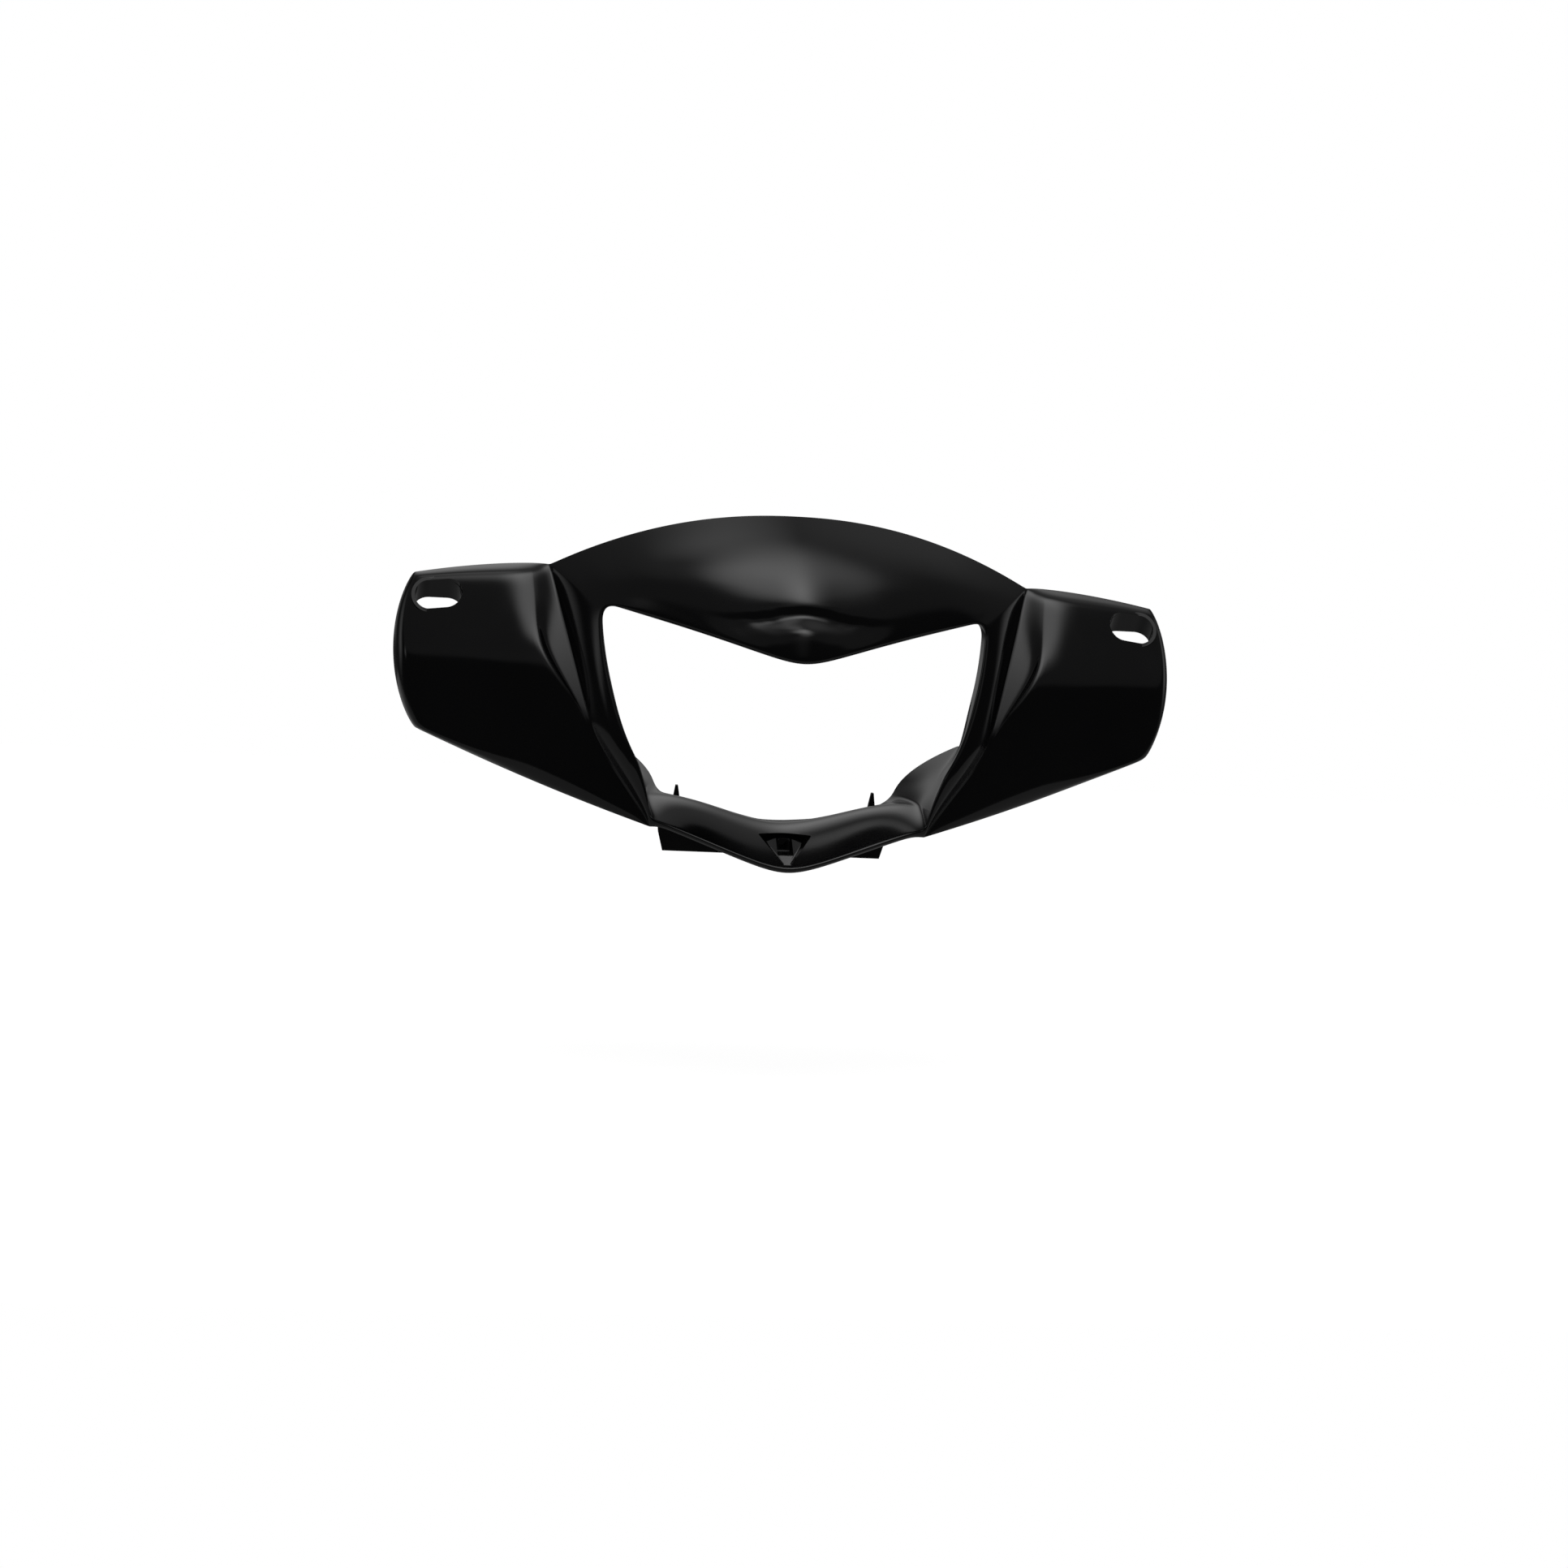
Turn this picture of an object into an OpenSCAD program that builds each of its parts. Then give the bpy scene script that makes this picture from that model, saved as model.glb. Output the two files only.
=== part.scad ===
// Headlight cowl of a scooter handlebar: one thin moulded shell.
// Millimetres. X right, Y to the back, Z up. Origin at the chin screw hole.

/* [Size] */
// Overall width over the two wing ends
overall_w = 458; // [440:1:480]
// Wall thickness of the moulded skin
wall = 2.2; // [1.8:0.1:2.4]

/* [Brow] */
// Height of the brow's top edge above the beak
brow_h = 78.5; // [74:1:84]
// How far the brow's top edge lies behind the beak
brow_back = 71; // [66:1:76]
// Lean of the dome just above the beak crease, degrees
dome_base = 16; // [10:1:24]
// Lean of the dome at its top edge, degrees
dome_top = 60; // [52:1:66]
// How far the beak stands out from the dome
beak_out = 9; // [5:0.5:10]
// Where the ledge over the beak ends, as a share of the brow's height
beak_rise = 0.28; // [0.24:0.01:0.32]
// Half width over which the beak stands out
beak_half = 62; // [50:1:70]

/* [Opening] */
// Half width of the lamp opening at its top corners
open_x = 111; // [108:0.5:113]
// Height of the top corners above the beak
open_z = 25.5; // [23:0.5:28]
// How far the top corners lie behind the beak
open_y = 52; // [48:1:56]
// Corner radius of the opening
open_r = 9; // [6:0.5:12]
// Half width where the pillars turn towards their feet
waist_x = 87; // [84:0.5:89]
// Drop of that turn below the beak
waist_z = 61; // [57:1:64]
// Radius of the moulded edge round the opening
edge_r = 3.4; // [3:0.1:4]
// Depth of the return wall behind the opening's edge
return_d = 9; // [7:0.5:11]

/* [Notch and scoop] */
// Half width at the notches between brow and wings
notch_x = 140; // [136:0.5:143]
// Height of the notches above the beak
notch_z = 42; // [40:0.5:44]
// How far the notches lie behind the beak
notch_y = 88; // [85:0.5:91]
// Half width at the scoop's foot
scoop_x = 115; // [112:0.5:117]
// Drop of the scoop's foot below the beak
scoop_z = 41; // [38:0.5:44]
// How far the scoop's foot lies behind the beak
scoop_y = 38; // [36:0.5:41]
// Width of the scoop's flank
scoop_w = 21; // [17:0.5:24]

/* [Wings] */
// Height of a wing's top outer corner above the beak
tip_z = 33; // [30:0.5:36]
// How far that corner lies behind the beak
tip_y = 94; // [91:0.5:97]
// How far the wing's end bows out beyond its corners
end_bow = 12.5; // [9:0.5:15]
// Drop of the low outer corner below the beak
low_z = 53.5; // [50:0.5:57]
// How far the low outer corner lies behind the beak
low_y = 69; // [66:0.5:72]
// Drop of the wing's crest line below the beak
crest_drop = 10; // [6:0.5:14]
// How far the crest line lies behind the beak at the scoop
face_y = 47; // [44:0.5:50]
// How much the wing sweeps back, per millimetre outwards
face_sweep = 0.2; // [0.16:0.01:0.24]
// Lean of the upper face, degrees
upper_lean = 31; // [26:1:34]
// Lean of the lower face, degrees
lower_lean = 7; // [4:1:9]
// Steepness of the walls at the wing's rim
wall_steep = 4; // [3:0.1:5]

/* [Feet and chin] */
// Half width over the pillar feet
foot_x = 79; // [76:0.5:81]
// Drop of the feet below the beak
foot_z = 97; // [94:0.5:100]
// How far the feet lie behind the beak
foot_y = 27; // [25:0.5:30]
// Drop of the chin's point below the beak
chin_z = 118; // [115:0.5:121]
// How far the chin's point lies behind the beak
chin_y = 16; // [13:0.5:19]
// Roundness of the chin's point
chin_round = 11; // [9:0.5:14]
// How far the chin's face bows up
chin_bulge = 7; // [4:0.5:9]
// Drop of the chin's crest below the beak
crest_z = 98.5; // [96:0.5:101]
// How far the crest lies behind the beak
crest_y = 60; // [56:0.5:64]
// How far the rear edge of the floor lies behind the beak
floor_y = 99; // [95:0.5:103]

/* [Chin screw pocket] */
// Drop of the screw hole below the beak
screw_z = 108; // [107:0.5:109]
// Depth of the pocket's back wall behind the beak
screw_y = 44; // [42:0.5:46]
// Diameter of the screw hole
screw_d = 5.6; // [4.5:0.1:6.5]
// Half width of the pocket's top edge
pocket_half = 15.5; // [13:0.5:17]
// Outer diameter of the screw sleeve behind the pocket
sleeve_d = 11; // [9.5:0.5:12]
// Length of the screw bore
sleeve_len = 11; // [8:0.5:14]

/* [Mirror holes] */
// Distance of a mirror hole from the wing's end
mirror_in = 26; // [23:0.5:30]
// Height of the hole's centre above the beak
mirror_z = 23; // [21:0.5:25]
// Width of the slotted hole
mirror_w = 27; // [23:0.5:29]
// Height of the slotted hole
mirror_h = 17; // [14:0.5:18]
// Upward tilt of the hole's axis, degrees
mirror_tilt = 50; // [40:1:55]
// Depth of the collar inside the wing
collar_d = 9.5; // [7:0.5:11]
// Wall thickness of the collar
collar_wall = 1.9; // [1.6:0.1:2.2]

/* [Rear tabs] */
// Half width of the rear wall at its lower edge
tab_half = 65; // [60:1:68]
// Drop of the rear wall's lower edge below the beak
tab_z = 125; // [121:0.5:128]
// Distance of the locating pins from the middle
pin_x = 58.5; // [54:0.5:62]
// Height of a locating pin above the floor
pin_h = 13; // [9:0.5:15]

/* [Screw bosses] */
// Distance of the wing bosses from the middle
boss_x = 168; // [160:1:176]
// Drop of the wing bosses below the beak
boss_z = 32; // [26:1:38]
// Outer diameter of a boss
boss_d = 9; // [8:0.5:11]
// Diameter of the blind screw bore in a boss
pilot_d = 3.6; // [3:0.1:4.4]
// Depth of the blind bore
pilot_len = 13; // [9:0.5:14]

/* [Hidden] */
tip_x = overall_w / 2 - end_bow + 0.5;
low_x = tip_x - 4;

function mix(a, b, t) = a + (b - a) * t;
function clamp01(t) = min(1, max(0, t));
function smooth(t) = let (c = clamp01(t)) c * c * (3 - 2 * c);
function bez2(a, b, c, t) = (1 - t) * (1 - t) * a + 2 * t * (1 - t) * b + t * t * c;
function bez3(a, b, c, d, t) =
    pow(1 - t, 3) * a + 3 * t * pow(1 - t, 2) * b + 3 * t * t * (1 - t) * c + t * t * t * d;
function unit(v) = v / max(1e-6, norm(v));
function flip(p) = [-p[0], p[1], p[2]];

// Spoke numbers round one half of the opening, from the beak to the chin's point
s_top = 12;
s_notch = 14;
s_side = 19;
s_waist = 30;
s_foot = 38;
s_end = 47;

// Section columns from the rear end of the return wall out to the outer edge
c_edge = 7;
band = [0.07, 0.14, 0.184, 0.227, 0.27, 0.314, 0.382, 0.488, 0.604, 0.73, 0.865, 1];
c_out = c_edge + len(band);
fins = 17;

// Outer edge of the brow, right half, q = 0 at the middle and 1 at the notch
function brow_rim(q) = let (x = notch_x * q) [
    x,
    brow_back + (notch_y - brow_back) * pow(q, 1.3),
    brow_h - (brow_h - notch_z) * pow(q, 2.1)
];

// Lower lip of the brow from the beak to the top corner of the opening
corner = [open_x, open_y, open_z];
function lip(q) = let (x = open_x * q) [
    x,
    mix(sqrt(pow(x * 0.46, 2) + 16) - 4, open_y * q, smooth(q)),
    mix(sqrt(pow(x * 0.28, 2) + 9) - 1, open_z * q, smooth(q))
];

// Side of the opening down to the waist, then down to the foot
waist = [waist_x, foot_y - 6, -waist_z];
foot_in = [foot_x + 0.6, foot_y - 3, -foot_z + 6];
function side(q) = bez3(corner, corner + [-0.5, -12, -32], waist + [13, 2, 22], waist, q);
function shin(q) = bez3(waist, waist + [-3, -1, -9], foot_in + [0.6, -1, 10], foot_in, q);
function corner_pt(q) = bez2(lip(1 - open_r / open_x), corner, side(open_r / 80), q);

// Front edge of the chin from the foot to its point
chin_in = [foot_x - 6, foot_y - 1, -foot_z + 1.6];
chin_tip = [0, chin_y, -chin_z];
function chin(q) = let (x = chin_in[0] * (1 - q)) [
    x,
    mix(chin_in[1], chin_y, smooth(q)),
    -chin_z + (norm([x, chin_round]) - chin_round) / (norm([chin_in[0], chin_round]) - chin_round)
        * (chin_z + chin_in[2])
];

function open_pt(i) =
    i <= s_top ? lip(i / s_top * (1 - open_r / open_x)) :
    i <= s_side ? corner_pt((i - s_top) / (s_side - s_top)) :
    i <= s_waist ? side(mix(open_r / 80, 1, (i - s_side) / (s_waist - s_side))) :
    i <= s_foot ? shin((i - s_waist) / (s_foot - s_waist)) :
    i == s_foot + 1 ? mix(foot_in, chin_in, 0.55) + [0.4, -0.3, -0.8] :
    chin((i - s_foot - 2) / (s_end - s_foot - 2));

// Valley between the frame round the opening and the wing, then the outer edge of the pillar
notch = [notch_x, notch_y, notch_z];
scoop = [scoop_x, scoop_y, -scoop_z];
foot = [foot_x, foot_y + 1.5, -foot_z - 1];
function valley_z(i) =
    i <= s_side ? notch_z - 22 * pow((i - s_notch) / (s_side - s_notch), 2) :
    i <= s_waist ? mix(notch_z - 22, -waist_z - 3, (i - s_side) / (s_waist - s_side)) :
    mix(-waist_z - 3, -foot_z - 1, 1 - pow(1 - (i - s_waist) / (s_foot + 1 - s_waist), 1.6));
function valley_s(i) = let (z = valley_z(i)) z > -scoop_z
    ? 0.6 * (notch_z - z) / (notch_z + scoop_z)
    : 0.6 + 0.4 * (-scoop_z - z) / (foot_z + 1 - scoop_z);
function valley(s) =
    s < 0.6 ? bez3(notch, notch + [-8.5, -20, -28], scoop + [8.5, 12, 26], scoop, s / 0.6) :
    bez3(scoop, scoop + [-6, -6.5, -17], foot + [8, 1.5, 18], foot, (s - 0.6) / 0.4);
function out_pt(i) =
    i <= s_notch ? brow_rim(i / s_notch) :
    i <= s_foot + 1 ? valley(valley_s(i)) :
    open_pt(i) + [0, 4, -2.6];

// Crest of the return wall: a shallow flange above, the chin's top edge below
crest_foot = [foot_x + 1, crest_y, -crest_z + 13.5];
crest_mid = [0, crest_y, -crest_z];
function flange_pt(i, d) = let (p = open_pt(i), n = clamp01((i - s_top) / 4),
    flare = smooth((-20 - p[2]) / 35))
    p + [d * mix(-0.04 * n, 0.28, flare), d, -0.03 * d * (1 - n)];
function crest_line(q) = bez3(crest_foot, crest_foot + [-24, 1, 5.5], crest_mid + [24, 1, 1],
    crest_mid, q);
function ret_pt(i) =
    i <= s_waist - 4 ? flange_pt(i, return_d) :
    i <= s_foot ? let (q = (i - s_waist + 4) / (s_foot - s_waist + 4))
        mix(flange_pt(i, return_d), crest_foot + [(1 - q) * 10, 0, (1 - q) * 34], smooth(q)) :
    crest_line((i - s_foot) / (s_end - s_foot));

// Rear end of the return wall: it runs back as the floor and lower side walls
wall_hi = [foot_x + 30, floor_y, -crest_z + 43.5];
wall_lo = [foot_x - 7.6, floor_y + 1, -crest_z + 12.5];
floor_mid = [0, floor_y - 2, -crest_z - 6];
function rear_pt(i) =
    i <= s_waist - 7 ? flange_pt(i, return_d + 3) :
    i <= s_waist ? let (q = (i - s_waist + 7) / 7)
        mix(flange_pt(i, return_d + 3), wall_hi, smooth(q)) :
    i <= s_foot ? bez2(wall_hi, [foot_x - 3, floor_y + 1, -crest_z + 28], wall_lo,
        (i - s_waist) / (s_foot - s_waist)) :
    bez3(wall_lo, wall_lo + [-4, 0, -10], floor_mid + [40, 0, 2], floor_mid,
        (i - s_foot) / (s_end - s_foot));

// Dome of the brow: leans forward at the crease and back at the top edge
function dome(a, b, v) = let (
    h = max(1, b[2] - a[2]), d = b[1] - a[1], l = 0.42 * norm([h, d]),
    p = bez3([0, 0], l * [cos(dome_base), sin(dome_base)],
        [h, d] - l * [cos(dome_top), sin(dome_top)], [h, d], v))
    [mix(a[0], b[0], v), a[1] + p[1], a[2] + p[0]];
function beak(x, v) = let (ledge = beak_rise / (1 + pow(x / (0.55 * beak_half), 2)))
    beak_out * pow(max(0, 1 - pow(x / beak_half, 2)), 1.5)
        * (1 - smooth((v - ledge) / 0.09 + 1)) * (1 - 0.2 * smooth((v - 0.02) / 0.2));
function band_pt(i, v) = let (a = open_pt(i), b = out_pt(i), n = clamp01((i - s_top + 3) / 5),
    d = dome(a + [0, beak(a[0], 0), 0], b, v),
    p = [d[0], d[1] - beak(d[0], v), d[2]],
    bulge = 2.6 * sin(180 * v) * min(1, norm(b - a) / 20))
    mix(p, mix(a, b, v) + [0.3 * bulge, -bulge, 0], smooth(n));

function section(i) = let (
    w = rear_pt(i), r = ret_pt(i), e = open_pt(i), o = out_pt(i), chin_row = i > s_foot,
    r0 = min(edge_r, 0.45 * norm(r - e)), r1 = min(edge_r, (chin_row ? 0.62 : 0.4) * norm(o - e)),
    v0 = r1 / norm(o - e), a = e + r0 * unit(r - e),
    f = chin_row ? mix(e, o, v0) : band_pt(i, v0),
    knee = mix(r, a, 0.5) + chin_bulge * [0, -0.45, 1] * smooth((i - s_foot) / 4),
    gap = mix(v0, 1, max(0.08, min(0.25, 3.4 / norm(o - e)))))
    concat([w, mix(w, r, 0.5), r, bez2(r, knee, a, 0.27), bez2(r, knee, a, 0.54), a,
        bez2(a, e, f, 0.35), bez2(a, e, f, 0.72), f],
        [for (k = [1 : len(band) - 1]) let (v = mix(gap, 1, (band[k] - band[1]) / (1 - band[1])))
            chin_row ? mix(f, o, k / (len(band) - 1)) : band_pt(i, v)]);

// Wing outline: top edge, end edge and bottom edge
tip = [tip_x, tip_y, tip_z];
low = [low_x, low_y, -low_z];
function wing_top(t) = bez3(notch, notch + [10, 6, 0.6], notch + [42, 8, -2], tip, t);
function wing_low(t) = bez2(foot, mix(foot, low, 0.5) + [0, -3, -3.6], low, t);
function wing_end(s) = let (c = 4 * s * (1 - s)) mix(tip, low, s)
    + [end_bow * pow(c, 0.8), -1.5 * c, 0];
function wing_sheet(s, t) = mix(valley(s), wing_end(s), t) + mix(wing_top(t), wing_low(t), s)
    - mix(mix(notch, tip, t), mix(foot, low, t), s);
function fold(a, b, n) = a <= 0 || b <= 0 ? 0 : pow(pow(a, -n) + pow(b, -n), -1 / n);
function face(x, z) = let (h = z + crest_drop, up = (sqrt(h * h + 16) + h) / 2)
    face_y + face_sweep * (x - scoop_x - 28) + (h - up) * tan(lower_lean) + up * tan(upper_lean);
function flank(s) = let (u = s / 0.6) scoop_w * mix(0.8, 1, smooth(u / 0.45))
    * (1 - smooth((u - 0.5) / 0.55)) + 2.5;
function wing_pt(s, t) = let (
    p = wing_sheet(s, t), v = valley(s),
    tall = norm(wing_low(t) - wing_top(t)), wide = norm(wing_end(s) - v),
    shoulder = mix(flank(s), 30, smooth((s - 0.52) / 0.2)) / wide,
    a = max(0, p[1] - face(p[0], p[2])) * smooth(t / shoulder),
    low_steep = 0.12 + 0.6 * t + 2.4 * smooth((t - 0.5) / 0.5),
    low_in = (1 - s) * tall,
    top = wall_steep * s * tall * (0.35 + 0.65 * smooth(t / 0.4)),
    end = 1.3 * wall_steep * (1 - t) * wide,
    low = 2.5 * (1 - exp(-low_in / 1.5)) + low_steep * low_in)
    p - [0, fold(fold(a, top, 3), fold(low, end, 3), 4), 0];
flank_cols = 5;
function fin_t(s, k) = let (w = flank(s) / norm(wing_end(s) - valley(s)))
    k <= flank_cols ? w * k / flank_cols :
    mix(w, 1, 1 - pow(1 - (k - flank_cols) / (fins - flank_cols), 1.7));

half = [for (i = [0 : s_end]) section(i)];
ring = [for (m = [0 : 2 * s_end - 1]) m <= s_end ? half[m] : [for (p = half[2 * s_end - m]) flip(p)]];
rows = s_foot + 1 - s_notch;
wing = [for (i = [0 : rows]) [for (k = [0 : fins]) k == 0 ? half[s_notch + i][c_out] :
    wing_pt(valley_s(s_notch + i), fin_t(valley_s(s_notch + i), k))]];

n_ring = 2 * s_end;
cols = c_out + 1;
n_wing = (rows + 1) * fins;
n_skin = n_ring * cols + 2 * n_wing;

function at(m, j) = ring[(m + n_ring) % n_ring][min(c_out, max(0, j))];
function ring_normal(m, j) = unit(cross(at(m + 1, j) - at(m - 1, j), at(m, j + 1) - at(m, j - 1)));
function wing_at(i, k) = wing[min(rows, max(0, i))][min(fins, max(0, k))];
function wing_normal(i, k) = unit(cross(wing_at(i + 1, k) - wing_at(i - 1, k),
    wing_at(i, k + 1) - wing_at(i, k - 1)));
function shared_normal(i) = unit(ring_normal(s_notch + i, c_out) + wing_normal(i, 0));

// Offset directions for the inner face: normals, eased so that tight folds keep their wall
foot_pull = [-0.45, -2.1, 0.1];
function settle(n, p) = let (w = 1 - smooth((norm([abs(p[0]), p[1], p[2]] - foot) - 13) / 20))
    mix(n, p[0] < 0 ? flip(foot_pull) : foot_pull, w);
function shared(m) = let (i = m <= s_end ? m : n_ring - m) i >= s_notch && i <= s_foot + 1;
function ease_ring(n, passes) = passes == 0 ? n : ease_ring(
    [for (m = [0 : n_ring - 1]) [for (j = [0 : c_out]) j == 0 || (j == c_out && shared(m)) ? n[m][j] :
        unit(2 * n[m][j] + 1.5 * n[m][j - 1] + 1.5 * n[m][min(c_out, j + 1)]
            + 0.3 * n[(m + 1) % n_ring][j] + 0.3 * n[(m + n_ring - 1) % n_ring][j])]], passes - 1);
function ease_wing(n, passes) = passes == 0 ? n : ease_wing(
    [for (i = [0 : rows]) [for (k = [0 : fins]) k == 0 ? n[i][0] :
        unit(2 * n[i][k] + n[i][k - 1] + n[i][min(fins, k + 1)]
            + 0.5 * n[min(rows, i + 1)][k] + 0.5 * n[max(0, i - 1)][k])]], passes - 1);
raw_n = ease_ring([for (m = [0 : n_ring - 1]) let (i = m <= s_end ? m : n_ring - m)
    [for (j = [0 : c_out]) j == c_out && shared(m)
        ? (m <= s_end ? shared_normal(i - s_notch) : flip(shared_normal(i - s_notch)))
        : ring_normal(m, j)]], 1);
function turn(a, b, w) = let (t = acos(max(-0.98, min(0.9999, unit(a) * unit(b)))))
    sin((1 - w) * t) / sin(t) * a + sin(w * t) / sin(t) * b;
function ring_pull(m, j) = let (i = m <= s_end ? m : n_ring - m,
    e = m <= s_end ? open_pt(i) : flip(open_pt(i)),
    along = (j < c_edge ? -1 : 1) * norm(ring[m][j] - e),
    l0 = min(11, 0.95 * norm(ring[m][1] - e)), l1 = min(11, 0.8 * norm(ring[m][c_out] - e)),
    far = [for (k = [c_edge + 1 : c_out]) if (norm(ring[m][k] - e) >= l1) k][0])
    along < -l0 || along > l1 ? raw_n[m][j] :
    turn(raw_n[m][i > s_foot ? 4 : 3], raw_n[m][far], (along + l0) / (l0 + l1));
ring_n = [for (m = [0 : n_ring - 1]) [for (j = [0 : c_out]) settle(
    j < 1 ? raw_n[m][j] : ring_pull(m, j), ring[m][j])]];
wing_n = ease_wing([for (i = [0 : rows]) [for (k = [0 : fins])
    k == 0 ? ring_n[s_notch + i][c_out] : settle(wing_normal(i, k), wing[i][k])]], 2);

skin = concat([for (m = [0 : n_ring - 1]) each ring[m]],
    [for (i = [0 : rows]) for (k = [1 : fins]) wing[i][k]],
    [for (i = [0 : rows]) for (k = [1 : fins]) flip(wing[i][k])]);
normals = concat([for (m = [0 : n_ring - 1]) each ring_n[m]],
    [for (i = [0 : rows]) for (k = [1 : fins]) wing_n[i][k]],
    [for (i = [0 : rows]) for (k = [1 : fins]) flip(wing_n[i][k])]);
inner = [for (n = [0 : n_skin - 1]) skin[n] - wall * normals[n]];

function ring_id(m, j) = ((m + n_ring) % n_ring) * cols + j;
function right_id(i, k) = k == 0 ? ring_id(s_notch + i, c_out) : n_ring * cols + i * fins + k - 1;
function left_id(i, k) = k == 0 ? ring_id(n_ring - s_notch - i, c_out)
    : n_ring * cols + n_wing + i * fins + k - 1;
function quad(a, b, c, d) = [[a, b, c], [a, c, d]];

front = concat(
    [for (m = [0 : n_ring - 1]) for (j = [0 : c_out - 1])
        each quad(ring_id(m, j), ring_id(m, j + 1), ring_id(m + 1, j + 1), ring_id(m + 1, j))],
    [for (i = [0 : rows - 1]) for (k = [0 : fins - 1]) each
        quad(right_id(i, k), right_id(i, k + 1), right_id(i + 1, k + 1), right_id(i + 1, k))],
    [for (i = [0 : rows - 1]) for (k = [0 : fins - 1]) each
        quad(left_id(i + 1, k), left_id(i + 1, k + 1), left_id(i, k + 1), left_id(i, k))]);
back = [for (f = front) [f[2] + n_skin, f[1] + n_skin, f[0] + n_skin]];

rim = concat(
    [for (m = [0 : s_notch]) ring_id(m, c_out)],
    [for (k = [1 : fins]) right_id(0, k)],
    [for (i = [1 : rows]) right_id(i, fins)],
    [for (k = [fins - 1 : -1 : 1]) right_id(rows, k)],
    [for (m = [s_foot + 1 : n_ring - s_foot - 1]) ring_id(m, c_out)],
    [for (k = [1 : fins]) left_id(rows, k)],
    [for (i = [rows - 1 : -1 : 0]) left_id(i, fins)],
    [for (k = [fins - 1 : -1 : 1]) left_id(0, k)],
    [for (m = [n_ring - s_notch : n_ring - 1]) ring_id(m, c_out)]);
rear = [for (m = [0 : n_ring - 1]) ring_id(m, 0)];
function seam(loop) = [for (n = [0 : len(loop) - 1]) let (a = loop[n], b = loop[(n + 1) % len(loop)])
    each quad(a, a + n_skin, b + n_skin, b)];
function seam_back(loop) = [for (n = [0 : len(loop) - 1])
    let (a = loop[n], b = loop[(n + 1) % len(loop)]) each quad(a, b, b + n_skin, a + n_skin)];

module shell() {
    polyhedron(points = concat(skin, inner), faces = concat(front, back, seam(rim), seam_back(rear)));
}

module both_sides() {
    children();
    mirror([1, 0, 0]) children();
}

// A prism along Y whose outline lies in the XZ plane
module along_y(y0, y1) {
    translate([0, y1, 0]) rotate([90, 0, 0]) linear_extrude(y1 - y0) children();
}
module bore_y(x, y0, y1, z, d) {
    translate([x, y0, z]) rotate([-90, 0, 0]) cylinder(d = d, h = y1 - y0, $fn = 48);
}

// Inverted triangle of the pocket, grown by g all round
pocket_top = -screw_z + 6.3;
pocket_low = -screw_z - 7.6;
module pocket_outline(g) {
    polygon([[-pocket_half - 1.6 * g, pocket_top + g], [pocket_half + 1.6 * g, pocket_top + g],
        [2.2 + 0.4 * g, pocket_low - g], [-2.2 - 0.4 * g, pocket_low - g]]);
}
module pocket_block() {
    below = [for (j = [2 : 5]) let (p = half[s_end][j]) [p[1], p[2] - 0.6]];
    intersection() {
        along_y(chin_y + 2, screw_y + wall) pocket_outline(wall);
        translate([-2 * pocket_half, 0, 0]) rotate([90, 0, 90]) linear_extrude(4 * pocket_half)
            polygon(concat(below, [[chin_y + 6, pocket_low - 4], [crest_y, pocket_low - 4]]));
    }
    bore_y(0, screw_y + 0.5, screw_y + sleeve_len, -screw_z, sleeve_d);
}
module pocket_cut() {
    along_y(chin_y - 12, screw_y) pocket_outline(0);
    bore_y(0, screw_y - 1, screw_y + sleeve_len + 1, -screw_z, screw_d);
}

// Rear wall under the floor, with its two hanging corners and the pins above it
module rear_wall() {
    under = [for (i = [s_foot : s_end]) let (p = half[i][0]) [p[0], p[2] - wall * 0.4]];
    edge = [[tab_half, -tab_z], [tab_half + 3, -tab_z + 11]];
    half_wall = concat(edge, under);
    along_y(floor_y - 4, floor_y - 4 + wall) polygon(concat(half_wall,
        [for (n = [len(half_wall) - 2 : -1 : 0]) [-half_wall[n][0], half_wall[n][1]]]));
}
module pin() {
    along_y(floor_y - 4, floor_y - 1) polygon([
        [pin_x - 3.4, -crest_z - 2], [pin_x + 2.4, -crest_z + 1],
        [pin_x + 0.7, -crest_z + pin_h], [pin_x - 0.7, -crest_z + pin_h]]);
}

// Slotted mirror hole through the upper face, with a collar inside
mirror_x = overall_w / 2 - mirror_in;
mirror_y = face(mirror_x, mirror_z);
module mirror_slot(r, h) {
    for (k = [-1, 1]) translate([k * (mirror_w - mirror_h) / 2, 0, 0]) cylinder(r = r, h = h, $fn = 48);
    translate([-(mirror_w - mirror_h) / 2, -r, 0]) cube([mirror_w - mirror_h, 2 * r, h]);
}
module at_mirror() {
    translate([mirror_x, mirror_y, mirror_z]) rotate([90 - mirror_tilt, 0, 0]) children();
}
module collar() {
    front = 2 * mirror_w;
    difference() {
        at_mirror() translate([0, 0, -collar_d]) mirror_slot(mirror_h / 2 + collar_wall, collar_d + 8);
        translate([mirror_x, mirror_y, mirror_z]) rotate([-upper_lean, 0, 0])
            translate([-front, -front + wall / 2, -front]) cube([2 * front, front, 2 * front]);
    }
}
module mirror_cut() {
    at_mirror() translate([0, 0, -collar_d - 8]) mirror_slot(mirror_h / 2, 4 * collar_d);
}

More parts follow.
